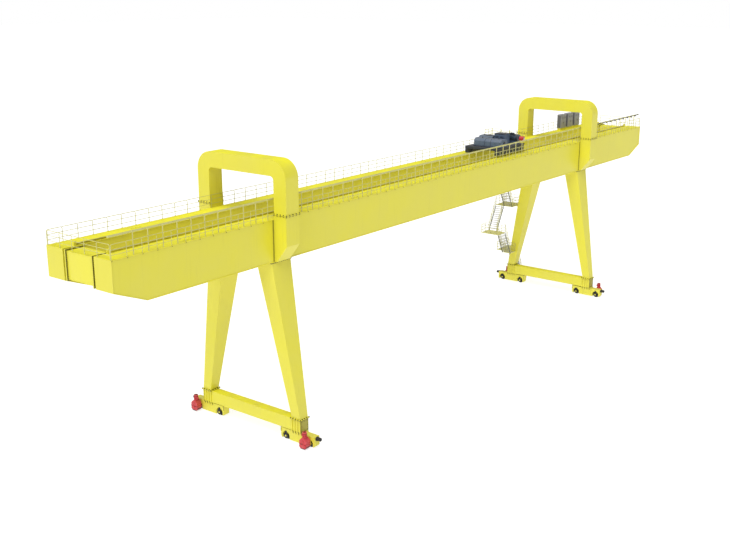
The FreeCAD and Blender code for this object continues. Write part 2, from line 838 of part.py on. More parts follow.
def flight_rail(flight, y):
    """The railing over one stringer: upright posts and rails that slope with the flight."""
    _, x0, z0, x1, z1 = flight
    bar = stair_rail_bar
    thickness = stringer_thickness
    shapes = []
    for height in rail_levels(stair_rail_height):
        profile = [(x0, z0 + height), (x1, z1 + height), (x1, z1 + height - bar), (x0, z0 + height - bar)]
        shapes.append(prism_along_y(profile, y, y + thickness))
    count = max(2, round((z0 - z1) / stair_post_pitch))
    for i in range(count + 1):
        share = i / count
        centre = x0 + (x1 - x0) * share
        left = centre - bar * share if x1 > x0 else centre - bar * (1 - share)
        right = left + bar
        left_z = z0 - abs(left - x0) * stair_tangent
        right_z = z0 - abs(right - x0) * stair_tangent
        profile = [
            (left, left_z), (right, right_z),
            (right, right_z + stair_rail_height), (left, left_z + stair_rail_height),
        ]
        shapes.append(prism_along_y(profile, y, y + thickness))
    return fuse(shapes)


def straight_rail(x0, x1, y0, y1, z):
    """One level railing along X or along Y, its posts on a platform."""
    half = stair_rail_bar / 2
    shapes = []
    for height in rail_levels(stair_rail_height):
        top = z + height
        shapes.append(box(x0 - half, x1 + half, y0 - half, y1 + half, top - stair_rail_bar, top))
    count = max(1, round((x1 - x0 + y1 - y0) / stair_post_pitch))
    for i in range(count + 1):
        x = x0 + (x1 - x0) * i / count
        y = y0 + (y1 - y0) * i / count
        shapes.append(box(x - half, x + half, y - half, y + half, z, z + stair_rail_height))
    return fuse(shapes)


def edge_rails(x0, x1, y0, y1, z, edges):
    """Railings on the named edges of a rectangle, those along Y ending between those along X."""
    half = stair_rail_bar / 2
    short = half + stair_rail_bar
    runs = {
        "inner": (x0 + half, x1 - half, y0 + half, y0 + half),
        "outer": (x0 + half, x1 - half, y1 - half, y1 - half),
        "left": (x0 + half, x0 + half, y0 + short, y1 - short),
        "right": (x1 - half, x1 - half, y0 + short, y1 - short),
    }
    return [straight_rail(*runs[edge], z) for edge in edges]


def platform_plate(x0, x1, y0, y1, z):
    """A level plate with its top at a height."""
    return box(x0, x1, y0, y1, z - platform_thickness, z)


def platform_beam(x, y0, z):
    """A beam along Y under a platform plate, out to the tower's outer edge."""
    half = platform_beam_width / 2
    top = z - platform_thickness
    return box(x - half, x + half, y0, stair_outer_y(), top - platform_beam_depth, top)


def top_landing(z):
    """The landing at the girder's walkway, open towards the girder and the first flight."""
    inner = lane_y(0)
    x1 = stair_turn_x - stair_upper_rise / stair_tangent
    x0 = x1 - platform_length
    plate = platform_plate(x0, x1, outer_web_y, stair_outer_y(), z)
    rails = edge_rails(x0, x1, outer_web_y, stair_outer_y(), z, ["outer", "left"])
    rails += edge_rails(x0, x1, outer_web_y, inner, z, ["right"])
    rails += edge_rails(x0, x1, inner + stair_lane_width, stair_outer_y(), z, ["right"])
    return plate, rails


def turn_platform(z, rise):
    """A platform away from the leg, carried by the flights that end on it."""
    x1 = stair_turn_x - rise / stair_tangent
    x0 = x1 - platform_length
    plate = platform_plate(x0, x1, lane_y(0), stair_outer_y(), z)
    return plate, edge_rails(x0, x1, lane_y(0), stair_outer_y(), z, ["inner", "outer", "left"])


def bracket_platform(z):
    """A platform beside the bracket, on beams from the girder's web."""
    x0 = stair_turn_x
    x1 = x0 + bracket_platform_length
    half = platform_beam_width / 2
    web_y = outer_web_y - girder_web_inset
    beams = [platform_beam(x, web_y, z) for x in (x0 + half, x1 - half)]
    plate = fuse([platform_plate(x0, x1, lane_y(0), stair_outer_y(), z)] + beams)
    return plate, edge_rails(x0, x1, lane_y(0), stair_outer_y(), z, ["inner", "outer", "right"])


def leg_platform(z):
    """A platform past the leg's outer face, on beams from the leg."""
    x0 = stair_turn_x
    x1 = x0 + leg_platform_length
    plate = leg_carried(platform_plate(x0, x1, lane_y(0), stair_outer_y(), z), z)
    return plate, edge_rails(x0, x1, lane_y(0), stair_outer_y(), z, ["inner", "outer", "right"])


def foot_platform(z):
    """The lowest platform, wrapped round the leg to the last flight."""
    x0 = stair_turn_x
    x1 = foot_platform_end_x
    inner = lane_y(0)
    outer = stair_outer_y()
    leg_reach = leg_half_width(z) + foot_platform_leg_gap
    leg_x0 = portal_spacing / 2 - leg_reach
    leg_x1 = portal_spacing / 2 + leg_reach
    leg_y = leg_outer_y(z - platform_thickness) + foot_platform_leg_gap
    lane_end = inner + stair_lane_width
    turn_x = x0 + foot_platform_setback
    plate = fuse([platform_plate(x0, leg_x0, inner, lane_end, z), platform_plate(turn_x, x1, leg_y, outer, z)])
    rails = edge_rails(x0, leg_x0, inner, lane_end, z, ["inner"])
    rails += edge_rails(x0, turn_x, inner, lane_end, z, ["outer"])
    rails += edge_rails(x0, leg_x0, inner, leg_y, z, ["right"])
    rails += edge_rails(leg_x1, x1, leg_y, outer, z, ["inner"])
    rails += edge_rails(turn_x, x1, lane_end, outer, z, ["left", "outer"])
    return leg_carried(plate, z), rails


def stair_platforms():
    """The platforms of the stair tower and their railings, from the girder top down."""
    levels = stair_levels()
    parts = [top_landing(levels[0]), bracket_platform(levels[1])]
    parts.append(turn_platform(levels[2], stair_upper_rise))
    parts.append(leg_platform(levels[3]))
    parts.append(turn_platform(levels[4], stair_lower_rise))
    parts.append(foot_platform(levels[5]))
    plates = [plate for plate, _ in parts]
    rails = [rail for _, part_rails in parts for rail in part_rails]
    return plates, rails


def leg_half_width(z):
    """Half of a leg's width along X at a height."""
    share = (leg_top_height - z) / (leg_top_height - leg_foot_height)
    return (leg_top_width + (leg_foot_width - leg_top_width) * share) / 2


def leg_carried(plate, z):
    """A platform plate with two beams that end on the leg's sloping outer face."""
    x = portal_spacing / 2
    beams = [
        platform_beam(x + shift, leg_outer_y(z) - platform_beam_depth, z)
        for shift in (-platform_beam_spread, platform_beam_spread)
    ]
    return fuse([plate] + beams).cut(leg(x, 1))


def main():
    os.makedirs("parts", exist_ok=True)
    girder = front_girder()
    save("front_girder", [girder])
    save("rear_girder", [mirror_y(girder)])
    beam = left_end_beam()
    save("left_end_beam", [beam])
    save("right_end_beam", [mirror_x(beam)])
    save("trolley_rails", [trolley_rail(side) for side in (-1, 1)])
    save("rail_stops", [rail_stop(side, end) for side in (-1, 1) for end in (-1, 1)])
    for portal, x in (("left", -portal_spacing / 2), ("right", portal_spacing / 2)):
        portal_side = 1 if x > 0 else -1
        save(portal + "_arch", [arch(x)])
        save(portal + "_sill_beam", [sill(x)])
        for place, side in (("front", -1), ("rear", 1)):
            name = portal + "_" + place
            save(name + "_bracket", [bracket(x, side)])
            save(name + "_leg", [leg(x, side)])
            save(name + "_bogie_frame", [bogie_frame(x, side)])
            save(name + "_travel_drive", [travel_drive(portal_side, side)])
            for position, y in zip(("inner", "outer"), wheel_positions()):
                save(name + "_" + position + "_wheel", [travel_wheel(x, side * y)])
    save("buffers", [buffer(x, side) for x in (-portal_spacing / 2, portal_spacing / 2) for side in (-1, 1)])
    save("front_handrail", [girder_handrail(-1)])
    save("rear_handrail", [girder_handrail(1)])
    save("end_handrails", [end_handrail(-1), end_handrail(1)])
    save("cable_track", [cable_track()])
    save("electrical_cabinets", [cabinet(i) for i in range(cabinet_count)])
    save("trolley_frame", [trolley_frame()])
    save("trolley_wheels", [trolley_wheel(x, y) for x, y in trolley_wheel_positions()])
    housing = deck_housing(drum_housing_x, drum_housing_y, drum_housing_width, drum_housing_length,
                           drum_housing_height, drum_housing_corner)
    save("hoist_drum_housing", [housing])
    save("hoist_gearbox", [deck_housing(gearbox_x, gearbox_y, gearbox_length, gearbox_width,
                                        gearbox_height, gearbox_corner)])
    save("trolley_control_box", [deck_housing(control_box_x, control_box_y, control_box_length,
                                              control_box_width, control_box_height, control_box_corner)])
    save("hoist_motor", [hoist_motor()])
    save("hoist_brake", [hoist_brake()])
    stair = flights()
    save("stair_stringers", [stringer(flight, y) for flight in stair for y in stringer_sides(flight)])
    save("stair_treads", [tread for flight in stair for tread in treads(flight)])
    plates, rails = stair_platforms()
    save("stair_platforms", plates)
    save("stair_handrails", rails + [flight_rail(flight, y) for flight in stair for y in stringer_sides(flight)])


main()
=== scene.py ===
import math

import bmesh
import bpy
from mathutils import Matrix, Vector


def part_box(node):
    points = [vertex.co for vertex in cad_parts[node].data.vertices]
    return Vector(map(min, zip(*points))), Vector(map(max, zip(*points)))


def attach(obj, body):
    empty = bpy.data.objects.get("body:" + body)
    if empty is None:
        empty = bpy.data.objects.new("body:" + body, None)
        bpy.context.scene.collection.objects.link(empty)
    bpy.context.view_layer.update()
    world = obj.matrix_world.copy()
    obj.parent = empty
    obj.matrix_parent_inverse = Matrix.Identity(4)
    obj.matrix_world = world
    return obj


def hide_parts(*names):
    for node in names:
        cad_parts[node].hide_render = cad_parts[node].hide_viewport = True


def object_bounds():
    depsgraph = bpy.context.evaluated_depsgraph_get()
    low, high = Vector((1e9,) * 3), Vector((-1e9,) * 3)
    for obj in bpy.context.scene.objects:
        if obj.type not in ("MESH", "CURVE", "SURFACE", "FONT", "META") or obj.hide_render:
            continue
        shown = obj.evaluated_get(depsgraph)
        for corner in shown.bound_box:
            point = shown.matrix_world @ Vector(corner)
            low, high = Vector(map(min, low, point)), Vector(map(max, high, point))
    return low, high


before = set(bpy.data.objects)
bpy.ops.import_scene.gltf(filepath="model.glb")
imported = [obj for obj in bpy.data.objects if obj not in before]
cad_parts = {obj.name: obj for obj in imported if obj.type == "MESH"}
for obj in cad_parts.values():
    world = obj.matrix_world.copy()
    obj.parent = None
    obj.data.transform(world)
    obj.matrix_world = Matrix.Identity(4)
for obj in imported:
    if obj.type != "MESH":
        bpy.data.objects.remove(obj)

# The looks of a half-size double-girder gantry crane, in metres, built over its solid parts.

bl_info = {
    "name": "Gantry crane looks",
    "version": (1, 0, 0),
    "blender": (4, 5, 0),
    "location": "3D View > Sidebar > Crane",
    "description": "Railings, bolts, machinery details, paint and a studio for the gantry crane",
    "category": "Object",
}

CRANE = "crane_frame"
TROLLEY = "trolley"
PORTALS = ("left", "right")
SIDES = ("front", "rear")
CAD_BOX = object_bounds()
GIRDER_BAYS = 65
END_BAYS = 5
GATE_BAY = 49

# Sizes of the solid parts that the fittings follow
RAIL_HEIGHT = 0.070
BOGIE_HALF_WIDTH = 0.150
SILL_FLANGE_REACH = 0.214
DRIVE_THICKNESS = 0.240
DRIVE_HALF_WIDTH = 0.165
DRIVE_HEIGHT = 0.430
DRIVE_NECK = 0.030
LEG_FLANGE = 0.030
LEG_HEAD_DEPTH, LEG_HEAD_MARGIN = 0.765, 0.026
LEG_FOOT_DEPTH, LEG_FOOT_MARGIN = 0.411, 0.048
LEG_FOOT_HALF_WIDTH = 0.215

# How many fittings there are, and where they stand along the crane
RAIL_CLIPS = 62
HATCH_PLACES = (-16.2, -7.5, 1.4, 9.2, 17.2)
CARRIERS, FIRST_CARRIER, CARRIER_PITCH = 12, 12.95, 0.55
CABLE_START = 12.70

# The view and the light
CAMERA_PLACE = (-37.874, -25.609, 16.369)
CAMERA_AIM = (0.759, 0.5915, -0.272)
CAMERA_LENS, CAMERA_SENSOR = 49.7, 36.0
SUN_SIDE = (-0.50, -0.125, 0.857)
SUN_STRENGTH, SUN_ANGLE = 2.8, math.radians(60)
SKY_STRENGTH = 0.31
FLOOR_HALF_SIZE = 400


class CraneSettings(bpy.types.PropertyGroup):
    """The sizes and colours of the crane's finish."""

    paint: bpy.props.FloatVectorProperty(
        name="Crane paint", description="Main yellow of the steelwork", subtype="COLOR",
        size=3, min=0, max=1, default=(0.775, 0.715, 0.043))
    paint_faded: bpy.props.FloatVectorProperty(
        name="Faded paint", description="Yellow where sun and rain have dulled it", subtype="COLOR",
        size=3, min=0, max=1, default=(0.74, 0.68, 0.10))
    machine_paint: bpy.props.FloatVectorProperty(
        name="Machine paint", description="Slate blue of the trolley's machinery", subtype="COLOR",
        size=3, min=0, max=1, default=(0.075, 0.115, 0.175))
    drive_paint: bpy.props.FloatVectorProperty(
        name="Drive paint", description="Red of the travel drives", subtype="COLOR",
        size=3, min=0, max=1, default=(0.60, 0.035, 0.05))
    cabinet_paint: bpy.props.FloatVectorProperty(
        name="Cabinet paint", description="Light grey of the electrical cabinets", subtype="COLOR",
        size=3, min=0, max=1, default=(0.30, 0.30, 0.325))
    rail_tube: bpy.props.FloatProperty(
        name="Railing tube", description="Radius of the walkway railing's tube", subtype="DISTANCE",
        unit="LENGTH", default=0.0105, min=0.004, max=0.02)
    rail_bend: bpy.props.FloatProperty(
        name="Railing bend", description="Radius of the bend at the top of a railing post",
        subtype="DISTANCE", unit="LENGTH", default=0.06, min=0.02, max=0.12)
    bolt_head: bpy.props.FloatProperty(
        name="Bolt head", description="Radius of the large flange bolts' heads", subtype="DISTANCE",
        unit="LENGTH", default=0.016, min=0.006, max=0.03)
    plate_pitch: bpy.props.FloatProperty(
        name="Plate length", description="Distance between the butt welds along a girder",
        subtype="DISTANCE", unit="LENGTH", default=3.0, min=0.5, max=6.0)


# Mesh helpers

def lay(direction, point=(0, 0, 0)):
    """A placement that turns +Z towards a direction at a point."""
    turn = Vector(direction).normalized().to_track_quat("Z", "Y").to_matrix().to_4x4()
    return Matrix.Translation(Vector(point)) @ turn


def new_meshes(count):
    """Empty meshes for an operator to fill."""
    return [bmesh.new() for _ in range(count)]


def add_block(bm, start, end, bevel=0.0):
    """A block between two opposite corners, in either order, its edges broken if asked."""
    low, high = [Vector([pick(pair) for pair in zip(start, end)]) for pick in (min, max)]
    matrix = Matrix.Translation((low + high) / 2) @ Matrix.Diagonal((*(high - low), 1))
    made = bmesh.ops.create_cube(bm, size=1, matrix=matrix)["verts"]
    if bevel:
        edges = list({edge for vert in made for edge in vert.link_edges})
        bmesh.ops.bevel(bm, geom=edges, offset=bevel, segments=1, profile=0.5, affect="EDGES",
                        material=-1, clamp_overlap=True)


def add_frame(bm, low, high, proud):
    """A thin band round the four upright sides of a box."""
    low, high = Vector(low), Vector(high)
    for x0, x1, y0, y1 in ((low.x - proud, low.x, low.y - proud, high.y + proud),
                           (high.x, high.x + proud, low.y - proud, high.y + proud),
                           (low.x, high.x, low.y - proud, low.y), (low.x, high.x, high.y, high.y + proud)):
        add_block(bm, (x0, y0, low.z), (x1, y1, high.z))


def add_rod(bm, start, end, radius, sides=12, end_radius=None):
    """A round or tapered bar between two points."""
    start, end = Vector(start), Vector(end)
    along = end - start
    matrix = lay(along, (start + end) / 2)
    bmesh.ops.create_cone(bm, cap_ends=True, segments=sides, radius1=radius,
                          radius2=radius if end_radius is None else end_radius,
                          depth=along.length, matrix=matrix)


def add_bolt(bm, point, normal, radius):
    """A washer with a hexagon head on it."""
    point, normal = Vector(point), Vector(normal).normalized()
    add_rod(bm, point, point + normal * radius * 0.25, radius * 1.3, 10)
    add_rod(bm, point + normal * radius * 0.25, point + normal * radius * 0.9, radius, 6)


def add_bolt_row(bm, start, end, count, normal, radius):
    """Evenly spaced bolts between two points."""
    start, end = Vector(start), Vector(end)
    for i in range(count):
        add_bolt(bm, start.lerp(end, i / max(1, count - 1)), normal, radius)


def add_bolt_circle(bm, centre, normal, radius, count, size, shift=0.0):
    """Evenly spaced bolts round a level axis."""
    level = Vector((abs(normal[1]), abs(normal[0]), 0))
    for i in range(count):
        angle = math.tau * (i + shift) / count
        arm = level * math.cos(angle) + Vector((0, 0, math.sin(angle)))
        add_bolt(bm, Vector(centre) + arm * radius, normal, size)


def ring(inner, outer, bottom, top):
    """The profile of a flat ring or, with no inner radius, a disc."""
    return [(inner, bottom), (outer, bottom), (outer, top), (inner, top)]


def add_turned(bm, profile, point, axis, steps=20):
    """A closed profile of (radius, height) pairs spun round an axis."""
    place = lay(axis, point)
    verts = [bm.verts.new(place @ Vector((r, 0, h))) for r, h in profile]
    edges = [bm.edges.new((verts[i], verts[(i + 1) % len(verts)])) for i in range(len(verts))]
    bmesh.ops.spin(bm, geom=verts + edges, cent=Vector(point), axis=Vector(axis).normalized(),
                   dvec=(0, 0, 0), angle=math.tau, steps=steps, use_merge=True, use_duplicate=False)


def add_plate(bm, points, thickness):
    """A flat plate with the given corners, thickened along a vector."""
    verts = [bm.verts.new(Vector(point)) for point in points]
    face = bm.faces.new(verts)
    made = bmesh.ops.extrude_face_region(bm, geom=[face])["geom"]
    moved = [item for item in made if isinstance(item, bmesh.types.BMVert)]
    bmesh.ops.translate(bm, verts=moved, vec=Vector(thickness))


def add_tube(bm, start, direction, moves, radius, sides=6):
    """A tube that follows runs (a vector) and bends (centre, axis, angle, steps) from a start point."""
    rim = bmesh.ops.create_circle(bm, cap_ends=False, segments=sides, radius=radius,
                                  matrix=lay(direction, start))["verts"]
    edges = list({edge for vert in rim for edge in vert.link_edges})
    bmesh.ops.contextual_create(bm, geom=edges)
    for move in moves:
        if isinstance(move, Vector):
            made = bmesh.ops.extrude_edge_only(bm, edges=edges)["geom"]
            verts = [item for item in made if isinstance(item, bmesh.types.BMVert)]
            bmesh.ops.translate(bm, verts=verts, vec=move)
            edges = [item for item in made if isinstance(item, bmesh.types.BMEdge)
                     and item.verts[0] in verts and item.verts[1] in verts]
        else:
            centre, axis, angle, steps = move
            made = bmesh.ops.spin(bm, geom=edges, cent=centre, axis=axis, dvec=(0, 0, 0), angle=angle,
                                  steps=steps, use_duplicate=False)["geom_last"]
            edges = [item for item in made if isinstance(item, bmesh.types.BMEdge)]
    bmesh.ops.contextual_create(bm, geom=edges)


def finish_piece(bm, name, material, body, smooth=False):
    """Turn a bmesh into a piece that rides on a body."""
    bmesh.ops.remove_doubles(bm, verts=bm.verts, dist=0.00001)
    bmesh.ops.recalc_face_normals(bm, faces=bm.faces)
    if smooth:
        for face in bm.faces:
            face.smooth = True
        for edge in bm.edges:
            if len(edge.link_faces) == 2 and edge.calc_face_angle(0) > math.radians(35):
                edge.smooth = False
    mesh = bpy.data.meshes.new(name)
    bm.to_mesh(mesh)
    bm.free()
    piece = bpy.data.objects.new(name, mesh)
    bpy.context.scene.collection.objects.link(piece)
    mesh.materials.append(bpy.data.materials[material])
    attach(piece, body)
    return piece


# Material helpers

def add_node(tree, kind, inputs=None, **settings):
    """A shader node with its settings, and its inputs set or linked."""
    node = tree.nodes.new(kind)
    for name, value in settings.items():
        setattr(node, name, value)
    for key, value in (inputs or {}).items():
        if isinstance(value, bpy.types.NodeSocket):
            tree.links.new(value, node.inputs[key])
        else:
            node.inputs[key].default_value = value
    return node


def object_place(tree):
    """The piece's own coordinates."""
    return add_node(tree, "ShaderNodeTexCoord").outputs["Object"]


def math_node(tree, operation, first, second=0.0, clamp=False):
    """One arithmetic step."""
    return add_node(tree, "ShaderNodeMath", {0: first, 1: second}, operation=operation,
                    use_clamp=clamp).outputs[0]


def noise(tree, vector, scale, detail=3.0, roughness=0.5):
    """Noise on a coordinate, as a value."""
    return add_node(tree, "ShaderNodeTexNoise", {"Vector": vector, "Scale": scale, "Detail": detail,
                                                 "Roughness": roughness}).outputs["Fac"]


def spread(tree, value, low, high, to_low=0.0, to_high=1.0):
    """Stretch part of a value's range."""
    return add_node(tree, "ShaderNodeMapRange", {"Value": value, "From Min": low, "From Max": high,
                                                 "To Min": to_low, "To Max": to_high}).outputs[0]


def mix_colour(tree, factor, first, second, blend="MIX"):
    """Mix two colours."""
    node = add_node(tree, "ShaderNodeMix", data_type="RGBA", blend_type=blend)
    for index, value in ((0, factor), (6, first), (7, second)):
        if isinstance(value, bpy.types.NodeSocket):
            tree.links.new(value, node.inputs[index])
        else:
            node.inputs[index].default_value = value
    return node.outputs[2]


def new_group(name, inputs, outputs):
    """An empty shader node group with named sockets."""
    group = bpy.data.node_groups.new(name, "ShaderNodeTree")
    for label, kind, default in inputs:
        socket = group.interface.new_socket(name=label, in_out="INPUT", socket_type="NodeSocket" + kind)
        socket.default_value = default
    for label, kind in outputs:
        group.interface.new_socket(name=label, in_out="OUTPUT", socket_type="NodeSocket" + kind)
    entry = group.nodes.new("NodeGroupInput")
    leave = group.nodes.new("NodeGroupOutput")
    return group, entry.outputs, leave.inputs


def coat_group():
    """Sprayed paint: sun-faded patches, rain streaks and orange peel, and a top tone on up-facing patches: dust
    where the tone is dusty, a painted highlight where it is brighter than the paint.
    """
    group, given, result = new_group("Weathered coat and top light", (
        ("Colour", "Color", (0.8, 0.8, 0.8, 1)), ("Faded", "Color", (0.7, 0.7, 0.7, 1)),
        ("Fading", "Float", 0.5), ("Streaks", "Float", 0.2), ("Dust and top light", "Float", 0.2),
        ("Top dust and light tone", "Color", (0.46, 0.41, 0.30, 1)),
        ("Gloss roughness", "Float", 0.35), ("Grain", "Float", 40.0)),
        (("Colour", "Color"), ("Roughness", "Float"), ("Height", "Float")))
    place = object_place(group)
    patches = spread(group, noise(group, place, 0.7, 4.0), 0.35, 0.7)
    fading = math_node(group, "MULTIPLY", patches, given["Fading"])
    colour = mix_colour(group, fading, given["Colour"], given["Faded"])
    squeezed = add_node(group, "ShaderNodeMapping", {"Vector": place, "Scale": (9.0, 9.0, 0.7)}).outputs[0]
    runs = spread(group, noise(group, squeezed, 1.0, 5.0, 0.6), 0.56, 0.78)
    normal = add_node(group, "ShaderNodeNewGeometry").outputs["Normal"]
    upward = add_node(group, "ShaderNodeSeparateXYZ", {0: normal}).outputs["Z"]
    wall = math_node(group, "SUBTRACT", 1.0, math_node(group, "ABSOLUTE", upward), True)
    streaks = math_node(group, "MULTIPLY", math_node(group, "MULTIPLY", runs, wall), given["Streaks"])
    colour = mix_colour(group, streaks, colour, (0.10, 0.075, 0.035, 1))
    # Up-facing patches take the top tone: dust, and for the yellow steelwork a brighter yellow that is a painted
    # highlight on the tops.
    dust_and_top_light_patches = spread(group, noise(group, place, 2.3, 6.0, 0.65), 0.25, 0.7)
    level = spread(group, upward, 0.5, 0.95)
    dust = math_node(group, "MULTIPLY", math_node(group, "MULTIPLY", dust_and_top_light_patches, level), given["Dust and top light"])
    colour = mix_colour(group, dust, colour, given["Top dust and light tone"])
    peel = noise(group, place, given["Grain"], 2.0)
    rough = math_node(group, "ADD", given["Gloss roughness"], math_node(group, "MULTIPLY", fading, 0.14))
    rough = math_node(group, "ADD", rough, math_node(group, "MULTIPLY", dust, 0.4))
    rough = math_node(group, "ADD", rough, math_node(group, "MULTIPLY", peel, 0.06), True)
    group.links.new(colour, result["Colour"])
    group.links.new(rough, result["Roughness"])
    group.links.new(peel, result["Height"])


def chip_group():
    """Small chips and scuffs that bare the metal."""
    group, given, result = new_group("Chips", (
        ("Colour", "Color", (0.8, 0.8, 0.8, 1)), ("Bare", "Color", (0.12, 0.10, 0.09, 1)),
        ("Amount", "Float", 0.3), ("Scale", "Float", 9.0)),
        (("Colour", "Color"), ("Bare mask", "Float")))
    place = object_place(group)
    small = noise(group, place, given["Scale"], 8.0, 0.7)
    areas = spread(group, noise(group, place, 1.7, 2.0), 0.45, 0.65)
    limit = math_node(group, "SUBTRACT", 0.74, math_node(group, "MULTIPLY", areas, 0.07))
    chips = math_node(group, "MULTIPLY", math_node(group, "SUBTRACT", small, limit), 40.0, True)
    mask = math_node(group, "MULTIPLY", chips, given["Amount"], True)
    group.links.new(mix_colour(group, mask, given["Colour"], given["Bare"]), result["Colour"])
    group.links.new(mask, result["Bare mask"])


def seam_group():
    """Butt welds across a long girder and the lines where its web meets inner stiffeners."""
    group, given, result = new_group("Plate seams", (
        ("Plate length", "Float", 3.0), ("Bead", "Float", 0.008)),
        (("Bead", "Float"), ("Stiffener", "Float")))
    place = object_place(group)
    along = add_node(group, "ShaderNodeSeparateXYZ", {0: place}).outputs["X"]
    shifted = math_node(group, "ADD", along, 60.0)
    for name, share, width in (("Bead", 1.0, given["Bead"]), ("Stiffener", 0.25, 0.02)):
        pitch = math_node(group, "MULTIPLY", given["Plate length"], share)
        rest = math_node(group, "MODULO", shifted, pitch)
        half = math_node(group, "MULTIPLY", pitch, 0.5)
        away = math_node(group, "ABSOLUTE", math_node(group, "SUBTRACT", rest, half))
        closeness = math_node(group, "DIVIDE", away, width)
        group.links.new(math_node(group, "SUBTRACT", 1.0, closeness, True), result[name])


def new_material(name):
    """A material's node tree and its shader, ready for links."""
    material = bpy.data.materials.new(name)
    material.use_nodes = True
    tree = material.node_tree
    shader = tree.nodes["Principled BSDF"]
    return tree, shader


def use_group(tree, name, inputs):
    """A node group placed in a material."""
    node = tree.nodes.new("ShaderNodeGroup")
    node.node_tree = bpy.data.node_groups[name]
    for key, value in inputs.items():
        if isinstance(value, bpy.types.NodeSocket):
            tree.links.new(value, node.inputs[key])
        else:
            node.inputs[key].default_value = value
    return node.outputs


def bump(tree, shader, height, strength, distance):
    """Raise a surface by a height value."""
    made = add_node(tree, "ShaderNodeBump", {"Height": height, "Strength": strength, "Distance": distance})
    tree.links.new(made.outputs[0], shader.inputs["Normal"])


def painted(name, colour, faded, fading, streaks, dust, rough, grain=40.0, chips=0.3, seams=0.0, tread=False,
            top=(0.46, 0.41, 0.30)):
    """A painted steel material, with plate seams or a raised tread pattern where asked; top is the tone of
    up-facing patches, dust by default and a painted highlight when brighter than the paint.
    """
    tree, shader = new_material(name)
    coat = use_group(tree, "Weathered coat and top light", {
        "Colour": (*colour, 1), "Faded": (*faded, 1), "Fading": fading, "Streaks": streaks, "Dust and top light": dust,
        "Top dust and light tone": (*top, 1), "Gloss roughness": rough, "Grain": grain})
    chipped = use_group(tree, "Chips", {"Colour": coat["Colour"], "Amount": chips})
    final = chipped["Colour"]
    height = math_node(tree, "MULTIPLY", coat["Height"], 0.12)
    if seams:
        lines = use_group(tree, "Plate seams", {"Plate length": seams})
        height = math_node(tree, "ADD", height, lines["Bead"])
        height = math_node(tree, "ADD", height, math_node(tree, "MULTIPLY", lines["Stiffener"], 0.05))
        soiled = math_node(tree, "MULTIPLY", lines["Bead"], 0.08)
        final = mix_colour(tree, soiled, final, (0.2, 0.16, 0.03, 1))
    if tread:
        place = object_place(tree)
        turned = add_node(tree, "ShaderNodeMapping",
                          {"Vector": place, "Rotation": (0, 0, math.radians(45))}).outputs[0]
        bars = add_node(tree, "ShaderNodeTexChecker", {"Vector": turned, "Scale": 28.0}).outputs["Fac"]
        height = math_node(tree, "ADD", height, math_node(tree, "MULTIPLY", bars, 0.5))
    tree.links.new(final, shader.inputs["Base Color"])
    tree.links.new(coat["Roughness"], shader.inputs["Roughness"])
    tree.links.new(chipped["Bare mask"], shader.inputs["Metallic"])
    bump(tree, shader, height, 0.5, 0.004)


def metal(name, colour, worn, rough, metallic, scale=14.0, brushed=(1, 1, 1)):
    """Bare or blackened metal with a worn second tone and fine tool marks."""
    tree, shader = new_material(name)
    place = object_place(tree)
    stretched = add_node(tree, "ShaderNodeMapping", {"Vector": place, "Scale": brushed}).outputs[0]
    broad = spread(tree, noise(tree, place, scale * 0.4, 4.0), 0.35, 0.7)
    fine = noise(tree, stretched, scale * 6, 5.0, 0.6)
    tree.links.new(mix_colour(tree, broad, (*colour, 1), (*worn, 1)), shader.inputs["Base Color"])
    tree.links.new(spread(tree, fine, 0.2, 0.8, rough - 0.08, rough + 0.12), shader.inputs["Roughness"])
    shader.inputs["Metallic"].default_value = metallic
    bump(tree, shader, fine, 0.25, 0.0015)


def rail_steel():
    """Rolled rail: painted foot and web, head rubbed by the wheels."""
    tree, shader = new_material("Rail steel")
    place = object_place(tree)
    height = add_node(tree, "ShaderNodeSeparateXYZ", {0: place}).outputs["Z"]
    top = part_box("trolley_rails")[0].z + RAIL_HEIGHT
    head = spread(tree, height, top - 0.012, top - 0.002)
    rust = spread(tree, noise(tree, place, 9.0, 6.0, 0.65), 0.35, 0.7)
    foot = mix_colour(tree, rust, (0.70, 0.64, 0.03, 1), (0.48, 0.42, 0.03, 1))
    tree.links.new(mix_colour(tree, head, foot, (0.68, 0.64, 0.30, 1)), shader.inputs["Base Color"])
    tree.links.new(spread(tree, head, 0, 1, 0.75, 0.38), shader.inputs["Roughness"])
    tree.links.new(spread(tree, head, 0, 1, 0.05, 0.6), shader.inputs["Metallic"])
    bump(tree, shader, noise(tree, place, 120.0, 3.0), 0.3, 0.002)


def grating():
    """Galvanised tread plate with bearing bars across it, and painted shade in the openings between the bars."""
    tree, shader = new_material("Galvanised grating")
    place = object_place(tree)
    bars = add_node(tree, "ShaderNodeTexWave", {"Vector": place, "Scale": 16.0, "Distortion": 0.0},
                    wave_type="BANDS", bands_direction="Y").outputs["Fac"]
    spangle = add_node(tree, "ShaderNodeTexVoronoi", {"Vector": place, "Scale": 60.0}).outputs["Color"]
    tone = add_node(tree, "ShaderNodeRGBToBW", {0: spangle}).outputs[0]
    base = mix_colour(tree, spread(tree, tone, 0, 1, 0.2, 0.8), (0.62, 0.62, 0.56, 1), (0.80, 0.80, 0.74, 1))
    # Darker between the bars: painted shade in the openings.
    slot_shade = spread(tree, bars, 0.15, 0.4)
    tree.links.new(mix_colour(tree, slot_shade, (0.30, 0.30, 0.26, 1), base), shader.inputs["Base Color"])
    tree.links.new(spread(tree, tone, 0, 1, 0.38, 0.6), shader.inputs["Roughness"])
    shader.inputs["Metallic"].default_value = 0.5
    bump(tree, shader, bars, 0.8, 0.004)


